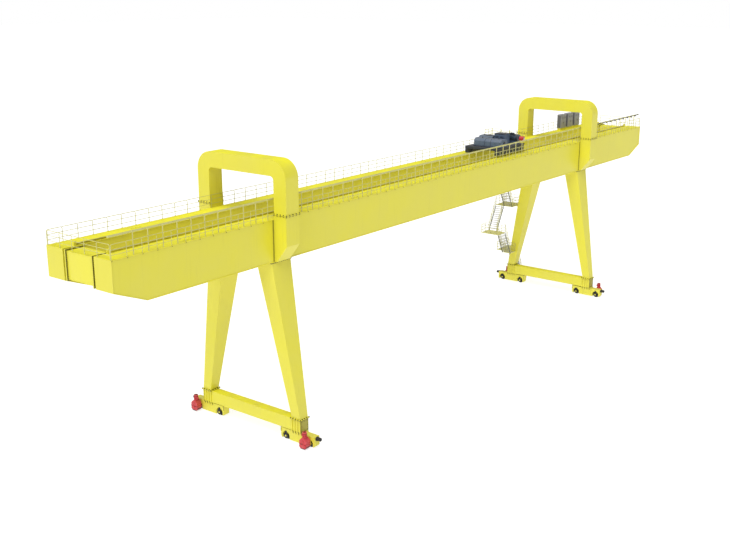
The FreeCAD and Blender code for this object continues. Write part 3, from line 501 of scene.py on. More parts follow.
def rubber():
    """Matt black rubber, greyed by dust."""
    tree, shader = new_material("Black rubber")
    place = object_place(tree)
    dust = spread(tree, noise(tree, place, 12.0, 6.0), 0.4, 0.8)
    tree.links.new(mix_colour(tree, dust, (0.012, 0.012, 0.013, 1), (0.05, 0.048, 0.045, 1)),
                   shader.inputs["Base Color"])
    tree.links.new(spread(tree, dust, 0, 1, 0.7, 0.92), shader.inputs["Roughness"])
    bump(tree, shader, noise(tree, place, 150.0), 0.3, 0.001)


def machined_face(name, colour, centre, axis_index):
    """A turned steel face with rings round its own centre."""
    tree, shader = new_material(name)
    place = object_place(tree)
    back = tuple(-c for c in centre)
    moved = add_node(tree, "ShaderNodeMapping", {"Vector": place, "Location": back}).outputs[0]
    flat = [1.0, 1.0, 1.0]
    flat[axis_index] = 0.0
    flattened = add_node(tree, "ShaderNodeMapping", {"Vector": moved, "Scale": tuple(flat)}).outputs[0]
    length = add_node(tree, "ShaderNodeVectorMath", {0: flattened}, operation="LENGTH").outputs["Value"]
    rings = math_node(tree, "SINE", math_node(tree, "MULTIPLY", length, 2200.0))
    tone = spread(tree, rings, -1, 1, 0.0, 0.3)
    tree.links.new(mix_colour(tree, tone, (*colour, 1), (0.2, 0.19, 0.18, 1)), shader.inputs["Base Color"])
    tree.links.new(spread(tree, rings, -1, 1, 0.28, 0.42), shader.inputs["Roughness"])
    shader.inputs["Metallic"].default_value = 0.7
    bump(tree, shader, rings, 0.2, 0.0005)


MATERIAL_OF = {
    "Girder paint": ("front_girder", "rear_girder"),
    "Crane paint": ("left_end_beam", "right_end_beam", "left_arch", "right_arch", "left_sill_beam",
                    "right_sill_beam", "rail_stops", "front_handrail", "rear_handrail", "end_handrails"),
    "Shaded railing paint": ("stair_handrails", "cable_track"),
    "Dark machine paint": ("trolley_frame",),
    "Landing paint": ("stair_platforms",),
    "Machine paint": ("hoist_drum_housing", "hoist_gearbox", "trolley_control_box", "hoist_motor"),
    "Worn paint": (),
    "Stringer paint": ("stair_stringers",),
    "Drive paint": ("hoist_brake",),
    "Cabinet paint": ("electrical_cabinets",),
    "Blackened iron": ("trolley_wheels",),
    "Rail steel": ("trolley_rails",),
    "Galvanised grating": ("stair_treads",),
    "Black rubber": ("buffers",),
}


class CRANE_OT_paint(bpy.types.Operator):
    """Mix the crane's finishes and put them on its solid parts"""

    bl_idname = "crane.paint"
    bl_label = "Paint"

    def execute(self, context):
        look = context.scene.crane_settings
        coat_group()
        chip_group()
        seam_group()
        yellow, faded = tuple(look.paint), tuple(look.paint_faded)
        # A brighter yellow for the up-facing patches of the steelwork: a painted highlight on the tops.
        painted_top_light = (0.92, 0.865, 0.012)
        painted("Girder paint", yellow, faded, 0.45, 0.05, 0.95, 0.36, seams=look.plate_pitch, chips=0.12,
                top=painted_top_light)
        painted("Crane paint", yellow, faded, 0.5, 0.08, 0.95, 0.36, chips=0.2, top=painted_top_light)
        # A duller, darker yellow than the steelwork: painted shade on the thin railing tubes, also used on the
        # cable track.
        painted("Shaded railing paint", (0.62, 0.59, 0.20), (0.55, 0.53, 0.22), 0.3, 0.0, 0.1, 0.34, chips=0.25)
        painted("Worn paint", yellow, faded, 0.8, 0.38, 0.4, 0.42, chips=0.8)
        blue = tuple(look.machine_paint)
        painted("Machine paint", blue, (0.12, 0.16, 0.25), 0.7, 0.15, 0.35, 0.34, chips=0.4)
        painted("Stringer paint", (0.16, 0.17, 0.13), (0.22, 0.23, 0.17), 0.7, 0.15, 0.3, 0.4, chips=0.3)
        painted("Dark machine paint", (0.02, 0.026, 0.045), (0.04, 0.05, 0.07), 0.7, 0.1, 0.3, 0.4, chips=0.3)
        # Dark olive: the end-beam joint rims and the railing clips, and painted shade in the bracket gaps, round
        # the seat and leg flanges, on the bogie gussets and along plate edges.
        painted("Joint and painted shade paint", (0.25, 0.225, 0.02), (0.30, 0.27, 0.03), 0.6, 0.1, 0.2, 0.45, chips=0.3)
        # A darker copy of the yellow: painted shade on the sill end covers.
        painted("Shaded cover paint", (0.42, 0.385, 0.045), (0.46, 0.42, 0.06), 0.6, 0.2, 0.2, 0.45, chips=0.3)
        painted("Landing paint", (0.80, 0.78, 0.33), (0.70, 0.67, 0.30), 0.5, 0.0, 0.3, 0.45, chips=0.3,
                tread=True)
        painted("Drive paint", tuple(look.drive_paint), (0.55, 0.07, 0.07), 0.5, 0.25, 0.25, 0.3, chips=0.5)
        painted("Cabinet paint", tuple(look.cabinet_paint), (0.50, 0.51, 0.52), 0.6, 0.15, 0.25, 0.4,
                chips=0.15)
        painted("Dark cabinet paint", (0.11, 0.11, 0.125), (0.15, 0.15, 0.16), 0.6, 0.1, 0.2, 0.4, chips=0.1)
        metal("Blackened iron", (0.022, 0.023, 0.028), (0.05, 0.048, 0.046), 0.5, 0.55)
        metal("Bolt steel", (0.018, 0.018, 0.02), (0.05, 0.045, 0.04), 0.45, 0.6, scale=30.0)
        metal("Bright steel", (0.55, 0.55, 0.56), (0.40, 0.39, 0.38), 0.3, 1.0, brushed=(1, 9, 1))
        rail_steel()
        grating()
        rubber()
        owners = dict(MATERIAL_OF)
        for portal in PORTALS:
            for side in SIDES:
                name = portal + "_" + side
                owners["Crane paint"] += (name + "_leg", name + "_bracket")
                owners["Worn paint"] += (name + "_bogie_frame",)
                owners["Drive paint"] += (name + "_travel_drive",)
                owners["Blackened iron"] += (name + "_inner_wheel", name + "_outer_wheel")
        for material, nodes in owners.items():
            for node in nodes:
                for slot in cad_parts[node].material_slots:
                    slot.material = bpy.data.materials[material]
        return {"FINISHED"}


class CRANE_OT_railings(bpy.types.Operator):
    """Bend the walkway railings from tube, one hoop for each bay, on bolted foot plates"""

    bl_idname = "crane.railings"
    bl_label = "Railings"

    def execute(self, context):
        look = context.scene.crane_settings
        for node, opening in (("front_handrail", None), ("rear_handrail", GATE_BAY)):
            low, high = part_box(node)
            self.railing(look, node, low, high, Vector((1, 0, 0)), GIRDER_BAYS, opening, node + "_tubes")
        low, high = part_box("end_handrails")
        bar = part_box("front_handrail")[1].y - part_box("front_handrail")[0].y
        for name, x0, x1 in (("left", low.x, low.x + bar), ("right", high.x - bar, high.x)):
            self.railing(look, None, Vector((x0, low.y, low.z)), Vector((x1, high.y, high.z)),
                                       Vector((0, 1, 0)), END_BAYS, None, name + "_end_handrail_tubes")
        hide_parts("end_handrails")
        return {"FINISHED"}

    def railing(self, look, node, low, high, along, bays, opening, name):
        """One straight railing in the space of its solid part."""
        radius = look.rail_tube
        bend = look.rail_bend
        up = Vector((0, 0, 1))
        middle = (low + high) / 2
        length = (high - low).dot(along) - 2 * radius
        pitch = length / bays
        origin = middle - along * (length / 2)
        origin.z = low.z
        height = high.z - low.z - radius
        bm, feet, bolts = new_meshes(3)
        turn = up.cross(along)
        for i in range(bays):
            if i == opening:
                continue
            here = origin + along * pitch * i
            there = here + along * pitch
            top = Vector((0, 0, height - bend))
            moves = [top, (there + top - along * bend, turn, -math.pi / 2, 3)]
            starts = i == 0 or i - 1 == opening
            if starts:
                moves.append(-along * (pitch - 2 * bend))
                moves.append((here + top + along * bend, turn, -math.pi / 2, 3))
                moves.append(-top)
            else:
                moves.append(-along * (pitch - bend))
            add_tube(bm, there, up, moves, radius)
            for share in (1 / 3, 2 / 3):
                level = up * (high.z - low.z) * share - up * radius
                add_tube(bm, here + level, along, [along * pitch], radius * 0.85)
            for foot in ([here] if starts else []) + [there]:
                flat = foot.copy()
                flat.x = max(CAD_BOX[0].x + 0.034, min(CAD_BOX[1].x - 0.034, flat.x))
                reach = Vector((0.032, 0.032, 0)) - Vector((abs(along.y), abs(along.x), 0)) * 0.016
                add_block(feet, flat - reach, flat + reach + up * 0.008)
                for way in (-1, 1):
                    add_bolt(bolts, flat + along * way * 0.023 + up * 0.008, up, 0.006)
        piece = finish_piece(bm, name, "Shaded railing paint", CRANE, smooth=True)
        finish_piece(feet, name + "_feet", "Crane paint", CRANE)
        finish_piece(bolts, name + "_bolts", "Bolt steel", CRANE)
        if node:
            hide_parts(node)
        return piece


class CRANE_OT_joint_bolts(bpy.types.Operator):
    """Bolt the flanged joints of the end beams, arches, legs and sills"""

    bl_idname = "crane.joint_bolts"
    bl_label = "Joint bolts"

    def execute(self, context):
        radius = context.scene.crane_settings.bolt_head
        bolts, joint_rims_and_painted_shade = new_meshes(2)
        for end, side in (("left", -1), ("right", 1)):
            low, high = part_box(end + "_end_beam")
            self.end_joint(bolts, joint_rims_and_painted_shade, low, high, side, radius)
        for portal in PORTALS:
            arch_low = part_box(portal + "_arch")[0]
            for side in SIDES:
                name = portal + "_" + side
                outward = -1 if side == "front" else 1
                low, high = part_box(name + "_bracket")
                self.arch_seat(bolts, joint_rims_and_painted_shade, low, high, arch_low, outward, radius)
                self.bracket_gap_shade(joint_rims_and_painted_shade, low, high, outward)
                leg_low, leg_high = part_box(name + "_leg")
                self.leg_flanges(bolts, joint_rims_and_painted_shade, leg_low, leg_high, outward, radius)
        finish_piece(bolts, "joint_bolts", "Bolt steel", CRANE)
        # Dark rims at the end-beam joints, and painted shade in the bracket gaps and round the seat and leg
        # flanges.
        finish_piece(joint_rims_and_painted_shade, "joint_rims_and_painted_gap_shade", "Joint and painted shade paint", CRANE)
        return {"FINISHED"}

    def end_joint(self, bolts, joint_rims_and_painted_shade, low, high, side, radius):
        """Bolts round the rims of the flange pairs at the two ends of an end beam."""
        rim = 0.055
        pair = (0.650, 0.690)
        outer_x = low.x if side < 0 else high.x
        inner_x = high.x if side < 0 else low.x
        for way in (-1, 1):
            for face, normal in ((pair[0], -way), (pair[1], way)):
                y = way * face
                bolt_y = y + normal * 0.003
                for x0, x1 in ((outer_x, outer_x - side * rim), (inner_x, inner_x + side * rim)):
                    add_block(joint_rims_and_painted_shade, (x0, y, low.z), (x1, bolt_y, high.z))
                    add_bolt_row(bolts, ((x0 + x1) / 2, bolt_y, low.z + rim / 2),
                                 ((x0 + x1) / 2, bolt_y, high.z - rim / 2), 17, (0, normal, 0), radius * 0.8)
                for z0 in (low.z, high.z - rim):
                    add_block(joint_rims_and_painted_shade, (low.x + rim, y, z0), (high.x - rim, bolt_y, z0 + rim))
                    add_bolt_row(bolts, (low.x + rim * 2, bolt_y, z0 + rim / 2),
                                 (high.x - rim * 2, bolt_y, z0 + rim / 2), 9, (0, normal, 0), radius * 0.8)

    def bracket_gap_shade(self, joint_rims_and_painted_shade, low, high, outward):
        """Dark strips where a bracket meets the girder's web: painted shade of the narrow gap."""
        web = abs(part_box("front_girder")[0].y) - 0.022
        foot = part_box("front_girder")[0].z + 0.016
        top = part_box("front_girder")[1].z - 0.016
        for x, way in ((low.x + 0.006, -1), (high.x - 0.006, 1)):
            add_block(joint_rims_and_painted_shade, (x, outward * web, foot), (x + way * 0.034, outward * (web + 0.018), top))

    def arch_seat(self, bolts, joint_rims_and_painted_shade, low, high, arch_low, outward, radius):
        """Bolts through the flange pair under an arch column, and a thin dark band between the flanges: painted
        shade of the gap.
        """
        seat_z = arch_low.z
        edge = 0.014
        outer_y = high.y if outward > 0 else low.y
        inner_y = outer_y - outward * 0.60
        y = outer_y - outward * edge
        for z, normal in ((seat_z - 0.020, (0, 0, -1)), (seat_z + 0.020, (0, 0, 1))):
            add_bolt_row(bolts, (low.x + edge, y, z), (high.x - edge, y, z), 5, normal, radius * 1.3)
            for x in (low.x + edge, high.x - edge):
                add_bolt_row(bolts, (x, y - outward * 0.14, z), (x, inner_y, z), 4, normal, radius * 1.3)
        # Painted shade: a thin dark band round the gap between the flanges.
        add_frame(joint_rims_and_painted_shade, (low.x, low.y if outward < 0 else inner_y, seat_z - 0.009),
                  (high.x, inner_y if outward < 0 else high.y, seat_z + 0.002), 0.0025)

    def leg_flanges(self, bolts, joint_rims_and_painted_shade, low, high, outward, radius):
        """Bolts round a leg's head and foot flanges, and thin dark bands round both flanges: painted shade along
        their edges.
        """
        edge = 0.016
        inner = min(abs(low.y), abs(high.y))
        outer = max(abs(low.y), abs(high.y))
        middle = (low.x + high.x) / 2
        head = (inner, inner + LEG_HEAD_DEPTH + 2 * LEG_HEAD_MARGIN, (high.x - low.x) / 2,
                high.z - LEG_FLANGE, -1, 11, radius)
        foot = (outer - LEG_FOOT_DEPTH - 2 * LEG_FOOT_MARGIN, outer, LEG_FOOT_HALF_WIDTH + LEG_FOOT_MARGIN,
                low.z + LEG_FLANGE, 1, 5, radius * 1.35)
        for y0, y1, half, z, normal, count, size in (head, foot):
            for y in (y0 + edge, y1 - edge):
                add_bolt_row(bolts, (middle - half + edge, outward * y, z),
                             (middle + half - edge, outward * y, z), count, (0, 0, normal), size)
            for x in (middle - half + edge, middle + half - edge):
                step = (y1 - y0) / (count - 1)
                add_bolt_row(bolts, (x, outward * (y0 + step), z), (x, outward * (y1 - step), z),
                             count - 2, (0, 0, normal), size)
        # Painted shade: thin dark bands round the head and foot flanges.
        sides = sorted((outward * head[0], outward * head[1]))
        add_frame(joint_rims_and_painted_shade, (low.x, sides[0], high.z - LEG_FLANGE), (high.x, sides[1], high.z), 0.003)
        sides = sorted((outward * foot[0], outward * foot[1]))
        add_frame(joint_rims_and_painted_shade, (middle - foot[2], sides[0], low.z),
                  (middle + foot[2], sides[1], low.z + 0.010), 0.002)


class CRANE_OT_girder_fittings(bpy.types.Operator):
    """Fit rail clips, hatches, railing clips and the parked cable carriers to the girders"""

    bl_idname = "crane.girder_fittings"
    bl_label = "Girder fittings"

    def execute(self, context):
        low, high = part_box("trolley_rails")
        girder_low, girder_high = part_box("front_girder")
        top = girder_high.z
        clips, pads = new_meshes(2)
        rail_y = high.y - 0.032
        for side in (-1, 1):
            for i in range(RAIL_CLIPS):
                x = low.x + (high.x - low.x) * (i + 0.5) / RAIL_CLIPS
                for way in (-1, 1):
                    y = side * rail_y + way * 0.047
                    add_block(clips, (x - 0.028, y - 0.016, top), (x + 0.028, y + 0.016, top + 0.016))
        finish_piece(clips, "rail_clips", "Crane paint", CRANE)
        half = (girder_high.x - girder_low.x) / 2
        outer = abs(girder_low.y)
        for side in (-1, 1):
            for i in range(GIRDER_BAYS + 1):
                x = -half + 0.025 + i * (2 * half - 0.05) / GIRDER_BAYS
                add_block(pads, (x - 0.017, side * outer - 0.006, top - 0.040),
                          (x + 0.017, side * outer + 0.006, top - 0.016))
        finish_piece(pads, "railing_clips", "Joint and painted shade paint", CRANE)
        hatches, bolts = new_meshes(2)
        for side in (-1, 1):
            for x in HATCH_PLACES:
                y = side * (outer - 0.30)
                add_block(hatches, (x - 0.22, y - 0.13, top), (x + 0.22, y + 0.13, top + 0.012), 0.004)
                for dx in (-0.19, 0, 0.19):
                    for dy in (-0.10, 0.10):
                        add_bolt(bolts, (x + dx, y + dy, top + 0.012), (0, 0, 1), 0.008)
        finish_piece(hatches, "girder_hatches", "Crane paint", CRANE)
        finish_piece(bolts, "hatch_bolts", "Bolt steel", CRANE)
        track_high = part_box("cable_track")[1]
        cables = bmesh.new()
        track_y = (track_high.y - 0.041, track_high.y + 0.001)
        add_block(cables, (CABLE_START, track_y[0], track_high.z - 0.050),
                  (track_high.x - 0.01, track_y[1], track_high.z - 0.006))
        for i in range(CARRIERS):
            x = FIRST_CARRIER + i * CARRIER_PITCH
            add_block(cables, (x - 0.03, track_y[0] - 0.006, track_high.z - 0.11),
                      (x + 0.03, track_y[1] + 0.006, track_high.z - 0.05), 0.006)
        finish_piece(cables, "parked_cable_carriers", "Black rubber", CRANE)
        return {"FINISHED"}


class CRANE_OT_bogies(bpy.types.Operator):
    """Fit bearing caps, gussets, end plates and bolts to the bogies and sills"""

    bl_idname = "crane.bogies"
    bl_label = "Bogie fittings"

    def execute(self, context):
        paint, dark, bolts, edges, covers = new_meshes(5)
        for portal in PORTALS:
            for side in SIDES:
                name = portal + "_" + side
                self.bogie(name, paint, dark, bolts, edges)
            self.sill_end_plates(portal, edges, covers, bolts)
        finish_piece(paint, "bogie_gussets", "Worn paint", CRANE)
        finish_piece(dark, "bearing_arm_covers", "Blackened iron", CRANE)
        finish_piece(covers, "sill_end_covers", "Shaded cover paint", CRANE)
        finish_piece(edges, "gussets_and_edges_in_painted_shade", "Joint and painted shade paint", CRANE)
        finish_piece(bolts, "bogie_bolts", "Bolt steel", CRANE)
        return {"FINISHED"}

    def bogie(self, name, paint, dark, bolts, edges):
        """The fittings of one bogie."""
        low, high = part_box(name + "_bogie_frame")
        x = (low.x + high.x) / 2
        half = BOGIE_HALF_WIDTH
        sill_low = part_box(name.split("_")[0] + "_sill_beam")[0]
        outward = 1 if x > 0 else -1
        for position in ("inner", "outer"):
            wheel_low, wheel_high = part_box(f"{name}_{position}_wheel")
            y = (wheel_low.y + wheel_high.y) / 2
            z = (wheel_low.z + wheel_high.z) / 2
            for way in (-1, 1):
                if position == "outer" and way == outward:
                    continue
                face = x + way * half
                add_turned(dark, ring(0.036, 0.0755, 0, 0.004), (face, y, z), (way, 0, 0), 20)
                cap = [(0, -0.004), (0.105, -0.004), (0.105, 0.010), (0.088, 0.016), (0, 0.016)]
                add_turned(dark, cap, (face, y, z), (way, 0, 0), 24)
                hub = [(0, 0.014), (0.036, 0.014), (0.036, 0.022), (0, 0.026)]
                add_turned(paint, hub, (face, y, z), (way, 0, 0), 16)
                add_block(dark, (face, y - 0.0495, z + 0.050), (face + way * 0.004, y + 0.0495, z + 0.200))
                add_bolt_circle(bolts, (face + way * 0.011, y, z), (way, 0, 0), 0.051, 6, 0.0055, 0.5)
        middle = (low.y + high.y) / 2
        # Dark gussets under the sill flange: painted shade under the overhang.
        for way in (-1, 1):
            for shift in (-0.205, -0.07, 0.07, 0.205):
                y = middle + shift
                face = x + way * half
                seat = x + way * SILL_FLANGE_REACH
                add_plate(edges, [(face, y - 0.007, sill_low.z), (seat, y - 0.007, sill_low.z),
                                  (face, y - 0.007, sill_low.z - 0.150)], (0, 0.014, 0))
            for shift in (-0.245, -0.137, 0, 0.137, 0.245):
                add_bolt(bolts, (x + way * 0.168, middle + shift, high.z - 0.0005), (0, 0, -1), 0.012)
        # Thin dark strips on the edges of the bogie's inner end: painted shade along the edges.
        inner_y = low.y if middle > 0 else high.y
        inward = -1 if middle > 0 else 1
        for way in (-1, 1):
            add_block(edges, (x + way * (half - 0.004), inner_y + inward * 0.008, high.z - 0.215),
                      (x + way * (half + 0.012), inner_y - inward * 0.010, high.z + 0.006))
        outer_y = high.y if middle > 0 else low.y
        add_block(paint, (x - half + 0.02, outer_y, 0.11),
                  (x + half - 0.02, outer_y - inward * 0.006, 0.29), 0.002)

    def sill_end_plates(self, portal, edges, covers, bolts):
        """The bolted cover plates on the two ends of a sill beam, in a shaded copy of the yellow, with dark rims
        round the ends: painted shade.
        """
        low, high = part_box(portal + "_sill_beam")
        x = (low.x + high.x) / 2
        for y, way in ((low.y, -1), (high.y, 1)):
            add_block(covers, (x - 0.175, y, low.z + 0.03),
                      (x + 0.175, y + way * 0.008, high.z - 0.03), 0.002)
            # Painted shade: dark rims round the sill's ends.
            rim = sorted((y, y - way * 0.020))
            add_frame(edges, (low.x + 0.012, rim[0], low.z), (high.x - 0.012, rim[1], high.z - 0.002), 0.003)
            for dx in (-0.15, 0, 0.15):
                for z in (low.z + 0.06, (low.z + high.z) / 2, high.z - 0.06):
                    if dx or z != (low.z + high.z) / 2:
                        add_bolt(bolts, (x + dx, y + way * 0.008, z), (0, way, 0), 0.011)


class CRANE_OT_travel_drives(bpy.types.Operator):
    """Give the red travel drives their ribs, covers, motor fins and terminal boxes"""

    bl_idname = "crane.travel_drives"
    bl_label = "Travel drives"

    def execute(self, context):
        red, dark, bolts = new_meshes(3)
        for portal in PORTALS:
            for side in SIDES:
                self.drive(portal + "_" + side, red, dark, bolts)
        finish_piece(red, "drive_details", "Drive paint", CRANE, smooth=True)
        finish_piece(dark, "drive_caps", "Blackened iron", CRANE, smooth=True)
        finish_piece(bolts, "drive_bolts", "Bolt steel", CRANE)
        return {"FINISHED"}

    def drive(self, name, red, dark, bolts):
        """The details of one drive."""
        low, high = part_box(name + "_travel_drive")
        outward = 1 if low.x > 0 else -1
        wheel_low, wheel_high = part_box(name + "_outer_wheel")
        axle_y = (wheel_low.y + wheel_high.y) / 2
        y = (low.y + high.y) / 2
        z = (wheel_low.z + wheel_high.z) / 2
        face = high.x if outward > 0 else low.x
        box_x = face - outward * DRIVE_THICKNESS / 2
        lid = [(0, 0), (0.088, 0), (0.088, 0.012), (0.05, 0.022), (0, 0.022)]
        add_turned(red, lid, (face, axle_y, z), (outward, 0, 0), 24)
        add_bolt_circle(bolts, (face + outward * 0.012, axle_y, z), (outward, 0, 0), 0.073, 8, 0.007)
        add_turned(red, ring(0, 0.058, 0, 0.010), (face, y, z + 0.185), (outward, 0, 0), 20)
        add_bolt_circle(bolts, (face + outward * 0.010, y, z + 0.185), (outward, 0, 0), 0.045, 6, 0.005)
        near = face - outward * DRIVE_THICKNESS
        span = sorted((face + outward * 0.006, near - outward * 0.006))
        half = DRIVE_HALF_WIDTH
        split_z = z + 0.075
        for side in (-1, 1):
            add_block(red, (span[0], y + side * half, split_z - 0.012),
                      (span[1], y + side * (half + 0.012), split_z + 0.012))
            for x in (span[0] + 0.03, (span[0] + span[1]) / 2, span[1] - 0.03):
                add_bolt(bolts, (x, y + side * (half + 0.006), split_z + 0.012), (0, 0, 1), 0.006)
        add_block(red, (face, y - half, split_z - 0.012), (face + outward * 0.006, y + half, split_z + 0.012))
        sole = (face + outward * 0.004, near - outward * 0.004)
        add_block(dark, (sole[0], y - 0.109, low.z - 0.004), (sole[1], y + 0.109, low.z + 0.016), 0.002)
        for side in (-1, 1):
            add_block(dark, (sole[0], y + side * (half - 0.004), low.z + 0.064),
                      (sole[1], y + side * (half + 0.004), low.z + 0.100), 0.002)
        add_turned(dark, ring(0.037, 0.062, 0, 0.076), (near - outward * 0.002, axle_y, z),
                   (-outward, 0, 0), 20)
        neck_z = low.z + DRIVE_HEIGHT
        add_turned(red, ring(0.05, 0.094, 0, 0.014), (box_x, y, neck_z), (0, 0, 1), 24)
        motor_z = neck_z + DRIVE_NECK
        add_turned(red, ring(0.05, 0.088, -0.012, 0.010),
                   (box_x, y, motor_z), (0, 0, 1), 24)
        for i in range(28):
            angle = math.tau * i / 28
            out = Vector((math.cos(angle), math.sin(angle), 0))
            across = Vector((-out.y, out.x, 0)) * 0.0022
            root = Vector((box_x, y, motor_z + 0.012)) + out * 0.074
            tall = Vector((0, 0, 0.104))
            add_plate(red, [root - across, root - across + out * 0.014, root - across + out * 0.014 + tall,
                            root - across + tall], across * 2)
        inward = -1 if y > 0 else 1
        add_block(red, (box_x - 0.04, y + inward * 0.070, motor_z + 0.014),
                  (box_x + 0.04, y + inward * 0.120, motor_z + 0.090), 0.006)
        top = high.z
        cap = [(0, 0), (0.045, 0), (0.0755, -0.010), (0.0865, -0.028), (0.0865, -0.0595), (0, -0.0595)]
        add_turned(red, cap, (box_x, y, top), (0, 0, 1), 28)
        add_turned(dark, ring(0.0865, 0.0885, -0.004, 0.004),
                   (box_x, y, top - 0.0595), (0, 0, 1), 28)


class CRANE_OT_trolley(bpy.types.Operator):
    """Dress the trolley: housing panels, motor fins, brake, covers, bolts and lifting eyes"""

    bl_idname = "crane.trolley"
    bl_label = "Trolley"

    def execute(self, context):
        blue, dark, bolts = new_meshes(3)
        self.drum_housing(blue, dark, bolts)
        self.gearbox(blue, dark, bolts)
        self.control_box(blue, dark, bolts)
        self.motor(dark, bolts)
        self.frame_details(dark, bolts)
        finish_piece(blue, "trolley_panels", "Machine paint", TROLLEY)
        finish_piece(dark, "trolley_dark_parts", "Dark machine paint", TROLLEY)
        finish_piece(bolts, "trolley_bolts", "Bolt steel", TROLLEY)
        self.brake()
        return {"FINISHED"}

    def drum_housing(self, blue, dark, bolts):
        """Panel joints, covers and a base flange on the long housing."""
        low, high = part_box("hoist_drum_housing")
        corner = 0.110
        middle_x = (low.x + high.x) / 2
        for share in (0.0, 0.385, 0.6, 1.0):
            y = low.y + 0.012 + (high.y - low.y - 0.024) * share
            rim = [(low.x, low.z), (high.x, low.z), (high.x, high.z - corner), (high.x - corner, high.z),
                   (low.x + corner, high.z), (low.x, high.z - corner)]
            grown = [(middle_x + (x - middle_x) * 1.022, z + (0.008 if z > low.z else 0)) for x, z in rim]
            add_plate(dark if 0 < share < 1 else blue, [(x, y - 0.008, z) for x, z in grown], (0, 0.016, 0))
        for x, way in ((low.x, -1), (high.x, 1)):
            for y0 in (low.y + 0.06, low.y + 0.33, low.y + 0.63, low.y + 0.96, low.y + 1.22):
                add_block(blue, (x, y0, low.z + 0.07),
                          (x + way * 0.008, y0 + 0.22, high.z - corner - 0.03), 0.003)
                for dy in (0.02, 0.20):
                    for z in (low.z + 0.09, high.z - corner - 0.05):
                        add_bolt(bolts, (x + way * 0.008, y0 + dy, z), (way, 0, 0), 0.008)
        add_block(dark, (low.x - 0.03, low.y - 0.02, low.z), (high.x + 0.03, high.y + 0.02, low.z + 0.045))
        for y in (low.y + 0.3, high.y - 0.3):
            add_turned(dark, ring(0.018, 0.034, -0.008, 0.008),
                       (middle_x, y, high.z + 0.026), (0, 1, 0), 16)
        for y, way in ((low.y, -1), (high.y, 1)):
            add_turned(dark, [(0, 0), (0.10, 0), (0.10, 0.014), (0.05, 0.03), (0, 0.03)],
                       (middle_x, y, low.z + 0.20), (0, way, 0), 24)
            add_bolt_circle(bolts, (middle_x, y + way * 0.014, low.z + 0.20), (0, way, 0), 0.082, 8, 0.009)

    def gearbox(self, blue, dark, bolts):
        """Split flange, ribs and an oil cap on the gearbox."""
        low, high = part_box("hoist_gearbox")
        split = low.z + 0.20
        add_block(blue, (low.x - 0.022, low.y - 0.022, split - 0.014),
                  (high.x + 0.022, high.y + 0.022, split + 0.014))
        for x in (low.x - 0.011, high.x + 0.011):
            add_bolt_row(bolts, (x, low.y + 0.06, split + 0.014), (x, high.y - 0.06, split + 0.014), 7,
                         (0, 0, 1), 0.010)
        for y in (low.y - 0.011, high.y + 0.011):
            add_bolt_row(bolts, (low.x + 0.05, y, split + 0.014), (high.x - 0.05, y, split + 0.014), 6,
                         (0, 0, 1), 0.010)
        for y, way in ((low.y, -1), (high.y, 1)):
            for i in range(4):
                x = low.x + 0.09 + i * 0.14
                add_block(blue, (x - 0.006, y, low.z + 0.01), (x + 0.006, y + way * 0.016, split - 0.014))
        cap = Vector((low.x + 0.2, high.y - 0.2, high.z))
        add_rod(dark, cap, cap + Vector((0, 0, 0.05)), 0.03, 12)
        add_block(dark, (low.x + 0.1, low.y + 0.18, high.z), (high.x - 0.1, high.y - 0.30, high.z + 0.012),
                  0.003)

    def control_box(self, blue, dark, bolts):
        """Doors, louvres and handles on the control box."""
        low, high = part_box("trolley_control_box")
        for x, way in ((low.x, -1), (high.x, 1)):
            for i in range(2):
                y0 = low.y + 0.02 + i * 0.27
                add_block(blue, (x, y0, low.z + 0.03), (x + way * 0.010, y0 + 0.262, high.z - 0.06), 0.003)
                for k in range(5):
                    z = high.z - 0.12 - k * 0.022
                    add_block(dark, (x, y0 + 0.05, z), (x + way * 0.016, y0 + 0.21, z + 0.008))
                add_rod(bolts, (x + way * 0.024, y0 + 0.03, low.z + 0.20),
                        (x + way * 0.024, y0 + 0.03, low.z + 0.28), 0.006, 8)
        add_block(dark, (low.x - 0.012, low.y - 0.012, high.z - 0.003),
                  (high.x + 0.012, high.y + 0.012, high.z + 0.012))

    def motor(self, dark, bolts):
        """Cooling fins, fan cowl and terminal box on the hoist motor."""
        low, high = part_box("hoist_motor")
        x = (low.x + high.x) / 2
        radius = (high.x - low.x) / 2
        z = high.z - radius
        y0 = low.y + 0.054
        for i in range(44):
            angle = math.tau * i / 44
            out = Vector((math.cos(angle), 0, math.sin(angle)))
            across = Vector((-out.z, 0, out.x)) * 0.003
            root = Vector((x, y0 + 0.14, z)) + out * (radius - 0.004)
            long = Vector((0, high.y - y0 - 0.17, 0))
            add_plate(dark, [root - across, root - across + out * 0.02, root - across + out * 0.02 + long,
                             root - across + long], across * 2)
        add_turned(dark, [(0.05, 0), (radius + 0.012, 0), (radius + 0.018, 0.006), (radius + 0.018, 0.118),
                          (0.05, 0.118)], (x, y0 + 0.002, z), (0, 1, 0), 32)
        add_turned(dark, ring(0.03, radius + 0.014, 0, 0.018),
                   (x, high.y - 0.019, z), (0, 1, 0), 32)
        add_block(dark, (x - 0.08, y0 + 0.30, high.z - 0.01), (x + 0.08, y0 + 0.50, high.z + 0.07), 0.006)
        for bolt_x in (x - 0.06, x + 0.06):
            add_bolt_row(bolts, (bolt_x, y0 + 0.32, high.z + 0.07), (bolt_x, y0 + 0.48, high.z + 0.07), 2,
                         (0, 0, 1), 0.007)

